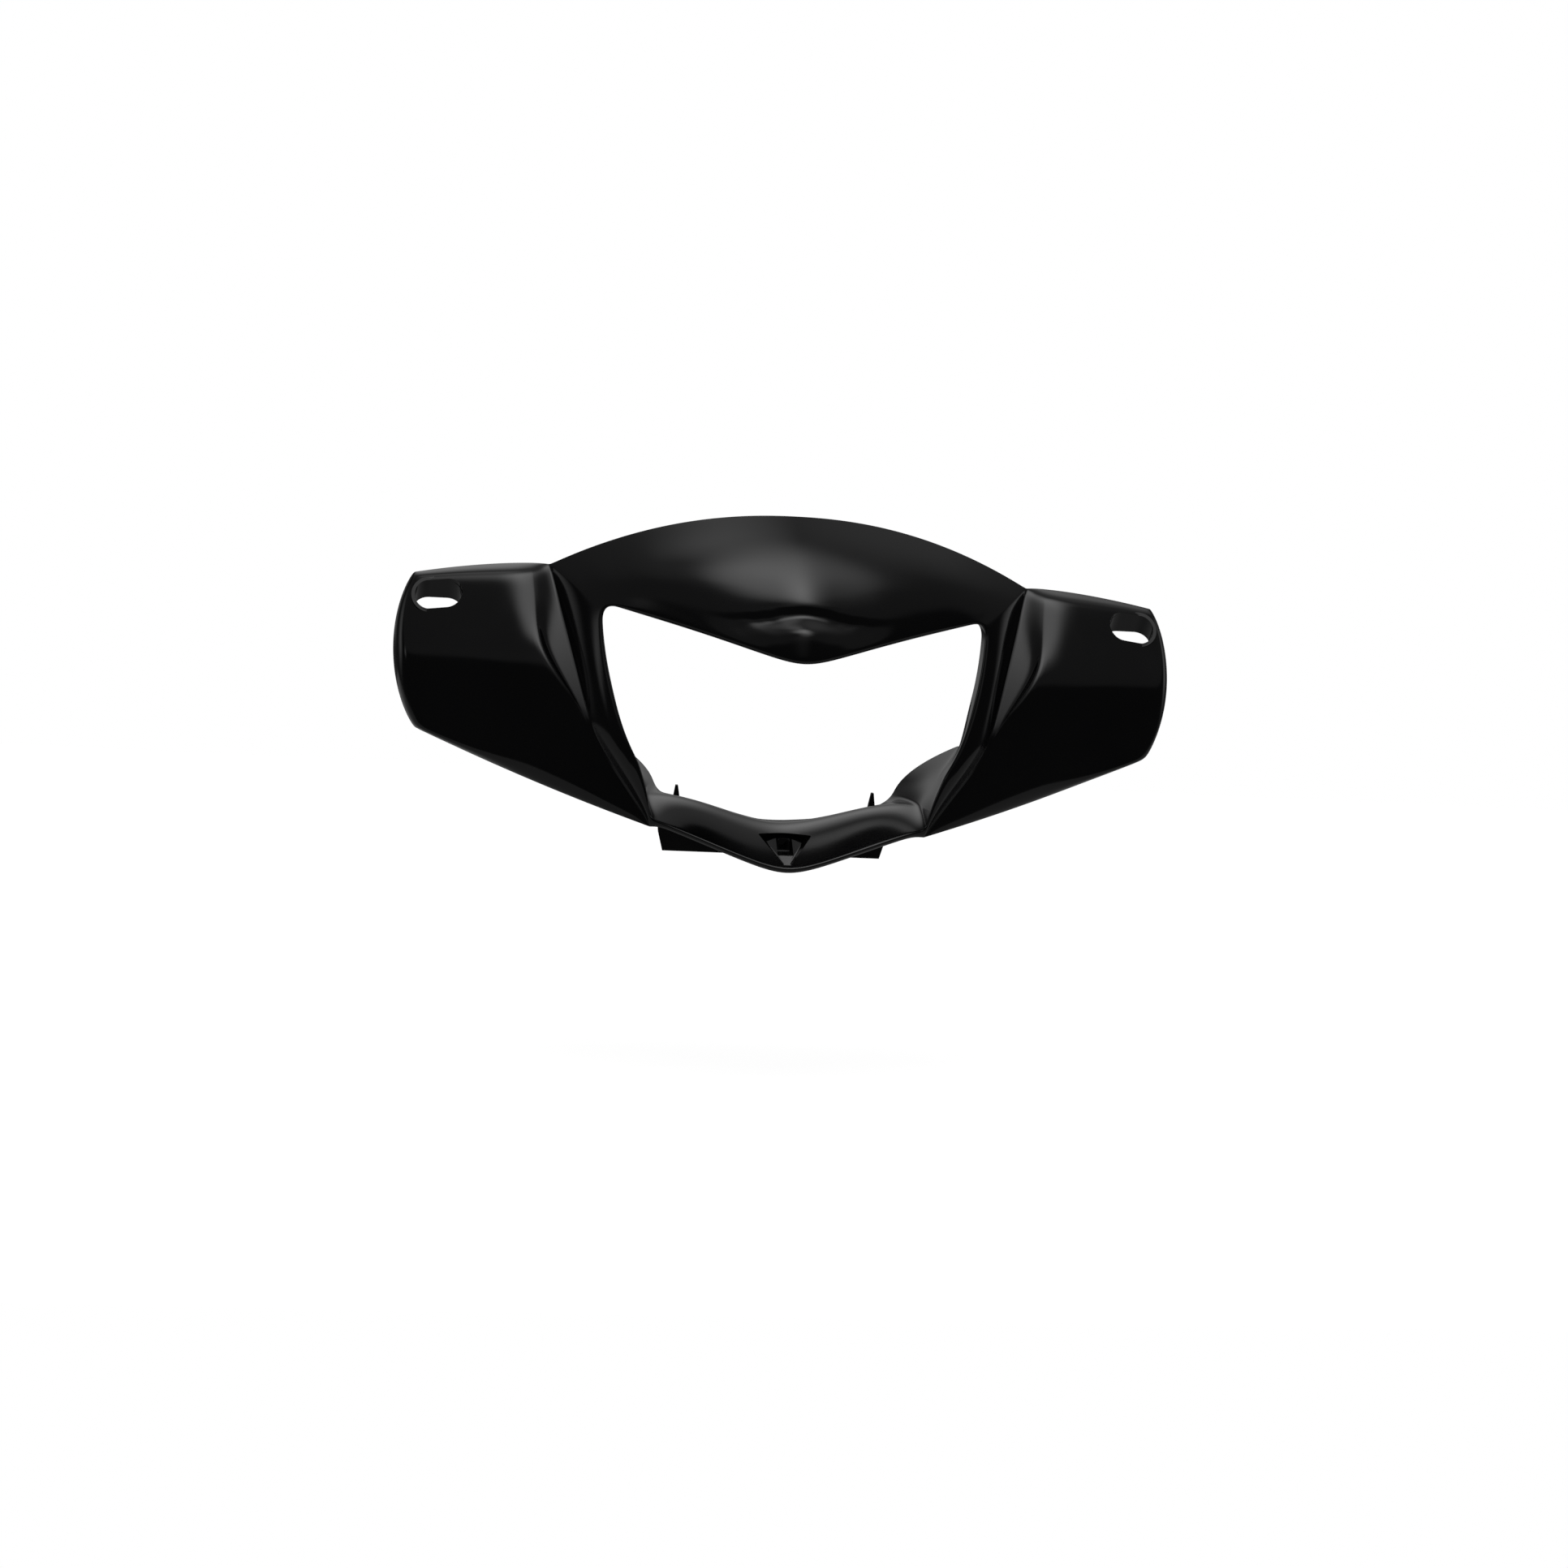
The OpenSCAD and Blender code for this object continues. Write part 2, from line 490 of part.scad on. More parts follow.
// Screw bosses on the hidden side: one in each wing, one on a rib beside the lamp's top corners
wing_boss_y = face(boss_x, -boss_z) + wall / 2;
boss_base = 3;
lamp_mid = [for (j = [c_edge : c_out]) half[s_side + 1][j] - wall / 2 * ring_n[s_side + 1][j]];
lamp_at = lamp_mid[6];
lamp_slope = (lamp_mid[7][1] - lamp_mid[5][1]) / (lamp_mid[7][0] - lamp_mid[5][0]);
lamp_y = lamp_at[1] + lamp_slope * boss_d / 2 + 0.8;
module lamp_rib() {
    translate([0, 0, lamp_at[2] - 1]) linear_extrude(2) polygon(concat(
        [for (j = [1 : 10]) [lamp_mid[j][0], lamp_mid[j][1]]],
        [[lamp_at[0] + 2, lamp_y + pilot_len], [lamp_at[0] - 2, lamp_y + pilot_len]]));
}
module bosses() {
    bore_y(boss_x, wing_boss_y, wing_boss_y + boss_base + pilot_len, -boss_z, boss_d);
    bore_y(lamp_at[0], lamp_y, lamp_y + boss_base + pilot_len, lamp_at[2], boss_d);
    lamp_rib();
}
module pilot_holes() {
    for (p = [[boss_x, wing_boss_y, -boss_z], [lamp_at[0], lamp_y, lamp_at[2]]])
        bore_y(p[0], p[1] + boss_base, p[1] + boss_base + pilot_len + 1, p[2], pilot_d);
}

module cowl() {
    color([0.012, 0.012, 0.013]) translate([0, -screw_y, screw_z]) difference() {
        union() {
            shell();
            pocket_block();
            rear_wall();
            both_sides() {
                pin();
                collar();
                bosses();
            }
        }
        pocket_cut();
        both_sides() {
            mirror_cut();
            pilot_holes();
        }
    }
}

cowl();
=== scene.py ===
import math

import bmesh
import bpy
import numpy as np
from mathutils import Matrix, Vector


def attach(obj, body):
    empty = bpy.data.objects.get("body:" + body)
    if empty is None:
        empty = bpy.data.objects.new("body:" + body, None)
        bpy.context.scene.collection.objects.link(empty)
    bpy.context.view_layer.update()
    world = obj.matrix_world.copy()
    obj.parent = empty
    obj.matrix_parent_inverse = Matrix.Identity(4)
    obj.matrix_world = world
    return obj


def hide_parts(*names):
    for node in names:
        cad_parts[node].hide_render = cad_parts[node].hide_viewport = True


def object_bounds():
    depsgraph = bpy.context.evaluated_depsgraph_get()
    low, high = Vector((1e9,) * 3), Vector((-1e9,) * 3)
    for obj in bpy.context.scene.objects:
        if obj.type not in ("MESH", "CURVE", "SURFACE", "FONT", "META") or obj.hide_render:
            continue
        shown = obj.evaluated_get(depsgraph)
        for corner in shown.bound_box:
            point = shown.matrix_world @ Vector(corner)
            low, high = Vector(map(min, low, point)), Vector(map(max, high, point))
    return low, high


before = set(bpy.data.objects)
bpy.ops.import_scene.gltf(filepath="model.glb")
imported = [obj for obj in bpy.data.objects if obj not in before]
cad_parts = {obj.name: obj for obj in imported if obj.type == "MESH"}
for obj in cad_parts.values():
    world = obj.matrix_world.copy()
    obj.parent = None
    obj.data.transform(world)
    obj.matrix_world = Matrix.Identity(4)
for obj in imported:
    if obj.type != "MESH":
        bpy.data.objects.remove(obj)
cad_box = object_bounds()

# The cowl's sizes in millimetres, measured from the beak's tip: x to the right, y to the back, z up
MM = 0.001
OVERALL_W = 458.0
WALL = 2.2

# Screw hole in the chin, where the part's own frame has its origin
SCREW_Y = 44.0
SCREW_Z = -108.0
SCREW_D = 5.6
SLEEVE_D = 11.0
SLEEVE_LEN = 11.0
SLEEVE_START = 0.5

# Brow: its top edge, the dome's slopes at the lip and at that edge, and how full the dome's curve is
BROW_H = 78.5
BROW_BACK = 71.0
BROW_SWEEP = 1.3
BROW_ARCH = 2.1
DOME_BASE = math.radians(16)
DOME_TOP = math.radians(60)
DOME_FULL = 0.42

# Beak: sizes across, and heights as shares of the way up the dome
BEAK_OUT = 9.0
BEAK_HALF = 62.0
BEAK_FADE = 2.4
LEDGE_HALF = 0.55 * BEAK_HALF
LEDGE_SWEEP = 1.6
LEDGE_AT = 0.252
LEDGE_RUN = 0.08
NOSE_FULL = 0.6
NOSE_TOP = 0.18
ROLL_OUT = 3.6
ROLL_RISE = 0.068
ROLL_CREST = 0.072
ROLL_FALL = 0.25

# Lamp opening: its upper corner, its waist, the rolled edge and the return wall behind that edge
OPEN_X = 111.0
OPEN_Y = 52.0
OPEN_Z = 25.5
OPEN_R = 9.0
LIP_SWEEP = 0.46
LIP_RISE = 0.28
WAIST_X = 87.0
WAIST_Z = -61.0
EDGE_R = 3.4
RETURN_D = 9.0
RETURN_REACH = 3.0

# Scoop: the valley runs from the notch at the brow, past the scoop's low end, to the foot
NOTCH = np.array([140.0, 88.0, 42.0])
SCOOP = np.array([115.0, 38.0, -41.0])
SCOOP_S = 0.6
SCOOP_W = 21.0
FILLET_W = 2.5
FOOT_FLANK = 30.0
VALLEY_SIDE_Z = NOTCH[2] - 22
VALLEY_WAIST_Z = WAIST_Z - 3

# Step from the scoop's flank up to the wing's face, soft by the notch and firm from halfway down.
# Its start and run are shares of the flank's width, and its places on the valley go from 0 to 1.
STEP_FROM = 0.08
STEP_FIRM_RUN = 0.25
STEP_END = 0.52
STEP_START = (0.05, 0.88)
STEP_RUN = (1.9, 0.14)

# Wing: its bowed end, its upper and lower face, and how steeply its rim turns back
END_BOW = 12.5
TIP_Y = 94.0
TIP_Z = 33.0
LOW_IN = 4.0
LOW_Y = 69.0
LOW_Z = -53.5
CREST_DROP = 10.0
CREST_ROUND = 4.0
FACE_Y = 47.0
FACE_FROM = SCOOP[0] + 28
FACE_SWEEP = 0.2
UPPER_LEAN = math.radians(31)
LOWER_LEAN = math.radians(7)
RIM_STEEP = 4.0
LOW_BEVEL = 2.5

# Foot of the frame, and the chin
FOOT_X = 79.0
FOOT_Y = 27.0
FOOT_Z = -97.0
CHIN_Y = 16.0
CHIN_Z = -118.0
CHIN_ROUND = 11.0
CHIN_BULGE = 7.0

# Floor behind the chin, the rear wall under its back edge and the two pins on it
FLOOR_CREST_Y = 60.0
FLOOR_CREST_Z = -98.5
FLOOR_Y = 99.0
REAR_Y = FLOOR_Y - 4
REAR_HALF = 65.0
REAR_Z = -125.0
REAR_FLARE = 3.0
REAR_FLARE_H = 11.0
PIN_X = 58.5
PIN_H = 13.0
PIN_D = 3.0
PIN_FOOT_IN = 3.4
PIN_FOOT_OUT = 2.4
PIN_TIP_HALF = 0.7
PIN_SUNK = 2.0
PIN_FOOT_RISE = 3.0

# Screw pocket: a triangular recess, and a square well round the screw hole
POCKET_HALF = 15.5
POCKET_LOW_HALF = 2.2
POCKET_GROW_TOP = 1.6
POCKET_GROW_LOW = 0.4
POCKET_TOP = SCREW_Z + 6.3
POCKET_LOW = SCREW_Z - 7.6
POCKET_DEEP = 3.2
POCKET_ROUND = 0.8
POCKET_FRONT = CHIN_Y + 5
POCKET_SUNK = 0.6
POCKET_SPARE = 12.0
WELL_HALF = 4.6
WELL_TOP = SCREW_Z + 4.2
WELL_LOW = SCREW_Z - 4.4
WELL_ROUND = 1.0

# Mirror hole and its collar, and the spare length that the collar and the cut start with
MIRROR_X = OVERALL_W / 2 - 26
MIRROR_Z = 23.0
MIRROR_W = 27.0
MIRROR_H = 17.0
MIRROR_TILT = math.radians(50)
COLLAR_D = 12.5
COLLAR_WALL = 1.9
COLLAR_SPARE = 8.0
HOLE_SPARE = 22.0

# Screw bosses on the hidden side, and the two that hold the lamp
BOSS_D = 9.0
BOSS_BASE = 3.0
PILOT_D = 3.6
PILOT_LEN = 13.0
RIB_HALF = 1.0
RIB_END_HALF = 2.0
BOSS_X = 168.0
BOSS_Z = -32.0
LAMP_SEAT = np.array([117.47, 56.29, 8.46])

# Spokes round one half of the opening, from the beak down to the chin's point
S_TOP, S_NOTCH, S_SIDE, S_WAIST, S_FOOT, S_END = 12, 14, 19, 30, 38, 47
# Rows along a spoke: the opening's edge, then the outer face, close together where the beak's ledge is
C_EDGE = 7
BAND = [0.07, 0.14, 0.18, 0.208, 0.236, 0.262, 0.288, 0.313, 0.338, 0.375, 0.44, 0.58, 0.78, 1]
C_OUT = C_EDGE + len(BAND)
# Columns of the wing: those on the scoop's flank, as shares of its width, and the rest out to the end
FLANK_STEPS = [0, 0.3, 0.58, 0.8, 0.92, 1]
FLANK_COLS = len(FLANK_STEPS) - 1
FINS = 17
# How firm the valley and the flank's shoulder stay when the skin is subdivided, and how fine all is made
VALLEY_CREASE = 0.45
SHOULDER_CREASE = 0.35
SHOULDER_SHORT = 6
SUBDIVISIONS = 2
SHARP_ANGLE = math.radians(38)
ROUND_SIDES = 48
# The two finishes, as places in the cowl's list of materials
GLOSS, SATIN = 0, 1


def vec(*values):
    return np.array(values, dtype=float)


def mix(a, b, t):
    return a + (b - a) * t


def smooth(t):
    c = min(1.0, max(0.0, t))
    return c * c * (3 - 2 * c)


def bez2(a, b, c, t):
    return (1 - t) ** 2 * a + 2 * t * (1 - t) * b + t * t * c


def bez3(a, b, c, d, t):
    return (1 - t) ** 3 * a + 3 * t * (1 - t) ** 2 * b + 3 * t * t * (1 - t) * c + t ** 3 * d


def norm(v):
    return float(np.linalg.norm(v))


def unit(v):
    return v / max(1e-6, norm(v))


def flip(p):
    """The same point on the other side of the cowl."""
    return p * vec(-1, 1, 1)


# Edges of the brow and of the lamp opening. The vectors added to a curve's ends are its handles.
CORNER = vec(OPEN_X, OPEN_Y, OPEN_Z)
WAIST = vec(WAIST_X, FOOT_Y - 6, WAIST_Z)
FOOT_IN = vec(FOOT_X + 0.6, FOOT_Y - 3, FOOT_Z + 6)
CHIN_IN = vec(FOOT_X - 6, FOOT_Y - 1, FOOT_Z + 1.6)
FOOT = vec(FOOT_X, FOOT_Y + 1.5, FOOT_Z - 1)


def brow_rim(q):
    y, z = mix(BROW_BACK, NOTCH[1], q ** BROW_SWEEP), mix(BROW_H, NOTCH[2], q ** BROW_ARCH)
    return vec(NOTCH[0] * q, y, z)


def lip(q):
    x = OPEN_X * q
    return vec(x, mix(math.hypot(x * LIP_SWEEP, 4) - 4, OPEN_Y * q, smooth(q)),
               mix(math.hypot(x * LIP_RISE, 3) - 1, OPEN_Z * q, smooth(q)))


def side(q):
    return bez3(CORNER, CORNER + vec(-0.5, -12, -32), WAIST + vec(13, 2, 22), WAIST, q)


def shin(q):
    return bez3(WAIST, WAIST + vec(-3, -1, -9), FOOT_IN + vec(0.6, -1, 10), FOOT_IN, q)


def chin(q):
    """Upper edge of the chin, a rounded V."""
    x = CHIN_IN[0] * (1 - q)
    whole = math.hypot(CHIN_IN[0], CHIN_ROUND) - CHIN_ROUND
    rise = (math.hypot(x, CHIN_ROUND) - CHIN_ROUND) / whole
    return vec(x, mix(CHIN_IN[1], CHIN_Y, smooth(q)), CHIN_Z + rise * (CHIN_IN[2] - CHIN_Z))


def open_pt(i):
    """The opening's edge at spoke i."""
    q_lip, q_side = 1 - OPEN_R / OPEN_X, OPEN_R / 80
    if i <= S_TOP:
        return lip(i / S_TOP * q_lip)
    if i <= S_SIDE:
        return bez2(lip(q_lip), CORNER, side(q_side), (i - S_TOP) / (S_SIDE - S_TOP))
    if i <= S_WAIST:
        return side(mix(q_side, 1, (i - S_SIDE) / (S_WAIST - S_SIDE)))
    if i <= S_FOOT:
        return shin((i - S_WAIST) / (S_FOOT - S_WAIST))
    if i == S_FOOT + 1:
        return mix(FOOT_IN, CHIN_IN, 0.55) + vec(0.4, -0.3, -0.8)
    return chin((i - S_FOOT - 2) / (S_END - S_FOOT - 2))


# Valley between the frame round the opening and the wing
def valley_z(i):
    if i <= S_SIDE:
        return mix(NOTCH[2], VALLEY_SIDE_Z, ((i - S_NOTCH) / (S_SIDE - S_NOTCH)) ** 2)
    if i <= S_WAIST:
        return mix(VALLEY_SIDE_Z, VALLEY_WAIST_Z, (i - S_SIDE) / (S_WAIST - S_SIDE))
    return mix(VALLEY_WAIST_Z, FOOT[2], 1 - (1 - (i - S_WAIST) / (S_FOOT + 1 - S_WAIST)) ** 1.6)


def valley_s(i):
    """Where spoke i meets the valley: 0 at the notch, SCOOP_S at the scoop's low end, 1 at the foot."""
    z = valley_z(i)
    if z > SCOOP[2]:
        return SCOOP_S * (NOTCH[2] - z) / (NOTCH[2] - SCOOP[2])
    return SCOOP_S + (1 - SCOOP_S) * (SCOOP[2] - z) / (SCOOP[2] - FOOT[2])


def valley(s):
    if s < SCOOP_S:
        return bez3(NOTCH, NOTCH + vec(-8.5, -20, -28), SCOOP + vec(8.5, 12, 26), SCOOP, s / SCOOP_S)
    q = (s - SCOOP_S) / (1 - SCOOP_S)
    return bez3(SCOOP, SCOOP + vec(-6, -6.5, -17), FOOT + vec(8, 1.5, 18), FOOT, q)


def out_pt(i):
    """The frame's outer edge at spoke i: the brow's rim, the valley, then the chin's lower edge."""
    if i <= S_NOTCH:
        return brow_rim(i / S_NOTCH)
    return valley(valley_s(i)) if i <= S_FOOT + 1 else open_pt(i) + vec(0, 4, -2.6)


# Return wall behind the opening's edge, with the floor behind the chin
FLOOR_FOOT = vec(FOOT_X + 1, FLOOR_CREST_Y, FLOOR_CREST_Z + 13.5)
FLOOR_CREST = vec(0, FLOOR_CREST_Y, FLOOR_CREST_Z)
WALL_HIGH = vec(FOOT_X + 30, FLOOR_Y, FLOOR_CREST_Z + 43.5)
WALL_LOW = vec(FOOT_X - 7.6, FLOOR_Y + 1, FLOOR_CREST_Z + 12.5)
FLOOR_MID = vec(0, FLOOR_Y - 2, FLOOR_CREST_Z - 6)


def flange_pt(i, d):
    """A point d behind the opening's edge, drawn outwards beside the lower half of the lamp."""
    p = open_pt(i)
    n = min(1.0, max(0.0, (i - S_TOP) / 4))
    return p + vec(d * mix(-0.04 * n, 0.28, smooth((-20 - p[2]) / 35)), d, -0.03 * d * (1 - n))


def ret_pt(i):
    """The return wall's bend: a short flange above, and the crest of the side walls and floor below."""
    start = S_WAIST - 4
    if i <= start:
        return flange_pt(i, RETURN_D)
    if i <= S_FOOT:
        q = (i - start) / (S_FOOT - start)
        return mix(flange_pt(i, RETURN_D), FLOOR_FOOT + vec((1 - q) * 10, 0, (1 - q) * 34), smooth(q))
    return bez3(FLOOR_FOOT, FLOOR_FOOT + vec(-24, 1, 5.5), FLOOR_CREST + vec(24, 1, 1), FLOOR_CREST,
                (i - S_FOOT) / (S_END - S_FOOT))


def rear_pt(i):
    """The return wall's back edge."""
    start = S_WAIST - 7
    if i <= start:
        return flange_pt(i, RETURN_D + RETURN_REACH)
    if i <= S_WAIST:
        q = (i - start) / (S_WAIST - start)
        return mix(flange_pt(i, RETURN_D + RETURN_REACH), WALL_HIGH, smooth(q))
    if i <= S_FOOT:
        return bez2(WALL_HIGH, vec(FOOT_X - 3, FLOOR_Y + 1, FLOOR_CREST_Z + 28), WALL_LOW,
                    (i - S_WAIST) / (S_FOOT - S_WAIST))
    return bez3(WALL_LOW, WALL_LOW + vec(-4, 0, -10), FLOOR_MID + vec(40, 0, 2), FLOOR_MID,
                (i - S_FOOT) / (S_END - S_FOOT))


# Dome of the brow with the beak standing out of it
def dome(a, b, v):
    """A point at share v of the bulging curve from the lip a up to the rim b."""
    h, d = max(1.0, b[2] - a[2]), b[1] - a[1]
    arm = DOME_FULL * math.hypot(h, d)
    foot = arm * vec(math.cos(DOME_BASE), math.sin(DOME_BASE))
    top = vec(h, d) - arm * vec(math.cos(DOME_TOP), math.sin(DOME_TOP))
    p = bez3(vec(0, 0), foot, top, vec(h, d), v)
    return vec(mix(a[0], b[0], v), a[1] + p[1], a[2] + p[0])


def beak(x, v):
    """How far the beak stands out: the nose up to its ledge, and the dome rolling out over that ledge."""
    share = max(0.0, 1 - (x / BEAK_HALF) ** 2) ** BEAK_FADE
    ledge = LEDGE_AT / (1 + abs(x / LEDGE_HALF) ** LEDGE_SWEEP)
    run = LEDGE_RUN * mix(0.6, 1, share)
    nose = (BEAK_OUT + NOSE_FULL * smooth(v / NOSE_TOP)) * (1 - smooth((v - ledge) / run + 1))
    roll = ROLL_OUT * smooth((v - ledge) / ROLL_RISE) * (1 - smooth((v - ledge - ROLL_CREST) / ROLL_FALL))
    return share * (nose + roll)


def band_pt(i, v):
    """The outer face of the frame at spoke i: the dome over the opening, a soft bulge beside it."""
    a, b = open_pt(i), out_pt(i)
    p = dome(a + vec(0, beak(a[0], 0), 0), b, v)
    p = p - vec(0, beak(p[0], v), 0)
    bulge = 2.6 * math.sin(math.pi * v) * min(1.0, norm(b - a) / 20)
    return mix(p, mix(a, b, v) + vec(0.3 * bulge, -bulge, 0), smooth((i - S_TOP + 3) / 5))


def section(i):
    """Spoke i of the skin, from the return wall's back edge round the opening's edge to the outer edge."""
    w, r, e, o = rear_pt(i), ret_pt(i), open_pt(i), out_pt(i)
    chin_row, span = i > S_FOOT, norm(o - e)
    v0 = min(EDGE_R, (0.62 if chin_row else 0.4) * span) / span
    a = e + min(EDGE_R, 0.45 * norm(r - e)) * unit(r - e)
    f = mix(e, o, v0) if chin_row else band_pt(i, v0)
    knee = mix(r, a, 0.5) + CHIN_BULGE * vec(0, -0.45, 1) * smooth((i - S_FOOT) / 4)
    gap = mix(v0, 1, max(0.08, min(0.25, EDGE_R / span)))
    rows = [w, mix(w, r, 0.5), r, bez2(r, knee, a, 0.27), bez2(r, knee, a, 0.54), a,
            bez2(a, e, f, 0.35), bez2(a, e, f, 0.72), f]
    for k in range(1, len(BAND)):
        v = mix(gap, 1, (BAND[k] - BAND[1]) / (1 - BAND[1]))
        rows.append(mix(f, o, k / (len(BAND) - 1)) if chin_row else band_pt(i, v))
    return rows


# Wing: a sheet between the valley and the wing's outline, pushed forward to its two faces
TIP = vec(OVERALL_W / 2 - END_BOW + 0.5, TIP_Y, TIP_Z)
LOW = vec(TIP[0] - LOW_IN, LOW_Y, LOW_Z)


def wing_top(t):
    return bez3(NOTCH, NOTCH + vec(10, 6, 0.6), NOTCH + vec(42, 8, -2), TIP, t)


def wing_low(t):
    return bez2(FOOT, mix(FOOT, LOW, 0.5) + vec(0, -3, -3.6), LOW, t)


def wing_end(s):
    c = max(0.0, 4 * s * (1 - s))
    return mix(TIP, LOW, s) + vec(END_BOW * c ** 0.8, -1.5 * c, 0)


def wing_sheet(s, t):
    """A sheet through the wing's four edges: s goes down from the top edge, t out from the valley."""
    return mix(valley(s), wing_end(s), t) + mix(wing_top(t), wing_low(t), s) \
        - mix(mix(NOTCH, TIP, t), mix(FOOT, LOW, t), s)


def fold(a, b, n):
    """The lesser of two depths, rounded where they cross; a higher n is firmer."""
    return 0.0 if a <= 0 or b <= 0 else (a ** -n + b ** -n) ** (-1 / n)


def face(x, z):
    """Depth of the wing's front: an upper and a lower face that meet in the crest line."""
    h = z + CREST_DROP
    up = (math.hypot(h, CREST_ROUND) + h) / 2
    crest = FACE_Y + FACE_SWEEP * (x - FACE_FROM)
    return crest + (h - up) * math.tan(LOWER_LEAN) + up * math.tan(UPPER_LEAN)


def flank(s):
    """Width of the scoop's flank beside the valley, down to a fillet at the scoop's low end."""
    u = s / SCOOP_S
    return SCOOP_W * mix(0.8, 1, smooth(u / 0.45)) * (1 - smooth((u - 0.5) / 0.55)) + FILLET_W


def front_depth(s, t, p, wide):
    """How far the front stands before the sheet: level on the scoop's flank, then up to the face."""
    below = smooth((s - STEP_END) / 0.1)
    across = t / (mix(flank(s), FOOT_FLANK, smooth((s - STEP_END) / 0.2)) / wide)
    firm = smooth((s - STEP_FROM) / STEP_FIRM_RUN) * (1 - below)
    share = smooth((across - mix(*STEP_START, firm)) / mix(*STEP_RUN, firm))
    share = mix(share, smooth(across), below)
    hold = (1 - share) * smooth(across * 4) * (1 - below)
    return max(0.0, share * (p[1] - face(p[0], p[2])) + hold * (p[1] - valley(s)[1]))


def wing_pt(s, t):
    p = wing_sheet(s, t)
    tall, wide = norm(wing_low(t) - wing_top(t)), norm(wing_end(s) - valley(s))
    above_low = (1 - s) * tall
    low_steep = 0.12 + 0.6 * t + 2.4 * smooth((t - 0.5) / 0.5)
    low = LOW_BEVEL * (1 - math.exp(-above_low / 1.5)) + low_steep * above_low
    top = RIM_STEEP * s * tall * (0.35 + 0.65 * smooth(t / 0.4))
    end = 1.3 * RIM_STEEP * (1 - t) * wide
    depth = fold(fold(front_depth(s, t, p, wide), top, 3), fold(low, end, 3), 7)
    return p - vec(0, depth, 0)


def fin_t(s, k):
    """Column k of the wing: close together on the scoop's flank, then out to the wing's end."""
    w = flank(s) / norm(wing_end(s) - valley(s))
    if k <= FLANK_COLS:
        return w * FLANK_STEPS[k]
    return mix(w, 1, 1 - (1 - (k - FLANK_COLS) / (FINS - FLANK_COLS)) ** 1.7)


# Control net of the outer skin: a ring of spokes round the opening and a grid for each wing
N_RING = 2 * S_END
ROWS = S_FOOT + 1 - S_NOTCH
N_RING_POINTS = N_RING * (C_OUT + 1)
N_WING_POINTS = (ROWS + 1) * FINS


def half_of(m):
    """The spoke of the right half that matches spoke m of the whole ring."""
    return m if m <= S_END else N_RING - m


def ring_id(m, j):
    return (m % N_RING) * (C_OUT + 1) + j


def right_id(i, k):
    return ring_id(S_NOTCH + i, C_OUT) if k == 0 else N_RING_POINTS + i * FINS + k - 1


def left_id(i, k):
    if k == 0:
        return ring_id(N_RING - S_NOTCH - i, C_OUT)
    return N_RING_POINTS + N_WING_POINTS + i * FINS + k - 1


def control_net():
    half = [section(i) for i in range(S_END + 1)]
    ring = np.array([half[half_of(m)] if m <= S_END else [flip(p) for p in half[half_of(m)]]
                     for m in range(N_RING)])
    wing = np.empty((ROWS + 1, FINS + 1, 3))
    for i in range(ROWS + 1):
        s = valley_s(S_NOTCH + i)
        for k in range(FINS + 1):
            wing[i, k] = half[S_NOTCH + i][C_OUT] if k == 0 else wing_pt(s, fin_t(s, k))
    return ring, wing


# Pulls: the directions that set the inner face off from the outer one, eased so that it never crosses
FOOT_PULL = vec(-0.45, -2.1, 0.1)
TURN_REACH = 11.0


def row_normals(grid, wrap):
    up = np.roll(grid, -1, 0) - np.roll(grid, 1, 0) if wrap else np.gradient(grid, axis=0)
    across = np.gradient(grid, axis=1)
    n = np.cross(up, across)
    return n / np.linalg.norm(n, axis=2, keepdims=True)


def turned(a, b, w):
    """The direction at share w of the turn from a to b."""
    t = math.acos(max(-0.98, min(0.9999, float(unit(a) @ unit(b)))))
    return math.sin((1 - w) * t) / math.sin(t) * a + math.sin(w * t) / math.sin(t) * b


def settle(n, p):
    """Near the foot, where frame, wing and chin meet, every pull points the same way."""
    w = 1 - smooth((norm(vec(abs(p[0]), p[1], p[2]) - FOOT) - 13) / 20)
    return mix(n, flip(FOOT_PULL) if p[0] < 0 else FOOT_PULL, w)


def ring_pulls(ring, wing_n):
    raw = row_normals(ring, True)
    shared = [S_NOTCH <= half_of(m) <= S_FOOT + 1 for m in range(N_RING)]
    for m in range(N_RING):
        if shared[m]:
            n = unit(raw[half_of(m), C_OUT] + wing_n[half_of(m) - S_NOTCH, 0])
            raw[m, C_OUT] = n if m <= S_END else flip(n)
    old, pulls = raw, raw.copy()
    for m in range(N_RING):
        for j in range(1, C_OUT + 1):
            if j < C_OUT or not shared[m]:
                pulls[m, j] = unit(2 * old[m, j] + 1.5 * old[m, j - 1] + 1.5 * old[m, min(C_OUT, j + 1)]
                                   + 0.3 * old[(m + 1) % N_RING, j] + 0.3 * old[m - 1, j])
    for m in range(N_RING):
        turn_edge(ring[m], pulls, m)
        for j in range(C_OUT + 1):
            pulls[m, j] = settle(pulls[m, j], ring[m, j])
    return pulls


def turn_edge(spoke, pulls, m):
    """Turns the pulls of spoke m evenly from the return wall round to the outer face."""
    i = half_of(m)
    edge = open_pt(i) if m <= S_END else flip(open_pt(i))
    away = [norm(p - edge) for p in spoke]
    back, ahead = min(TURN_REACH, 0.95 * away[1]), min(TURN_REACH, 0.8 * away[C_OUT])
    far = next(k for k in range(C_EDGE + 1, C_OUT + 1) if away[k] >= ahead)
    first, last = pulls[m, 4 if i > S_FOOT else 3].copy(), pulls[m, far].copy()
    for j in range(1, C_OUT + 1):
        along = -away[j] if j < C_EDGE else away[j]
        if -back <= along <= ahead:
            pulls[m, j] = turned(first, last, (along + back) / (back + ahead))


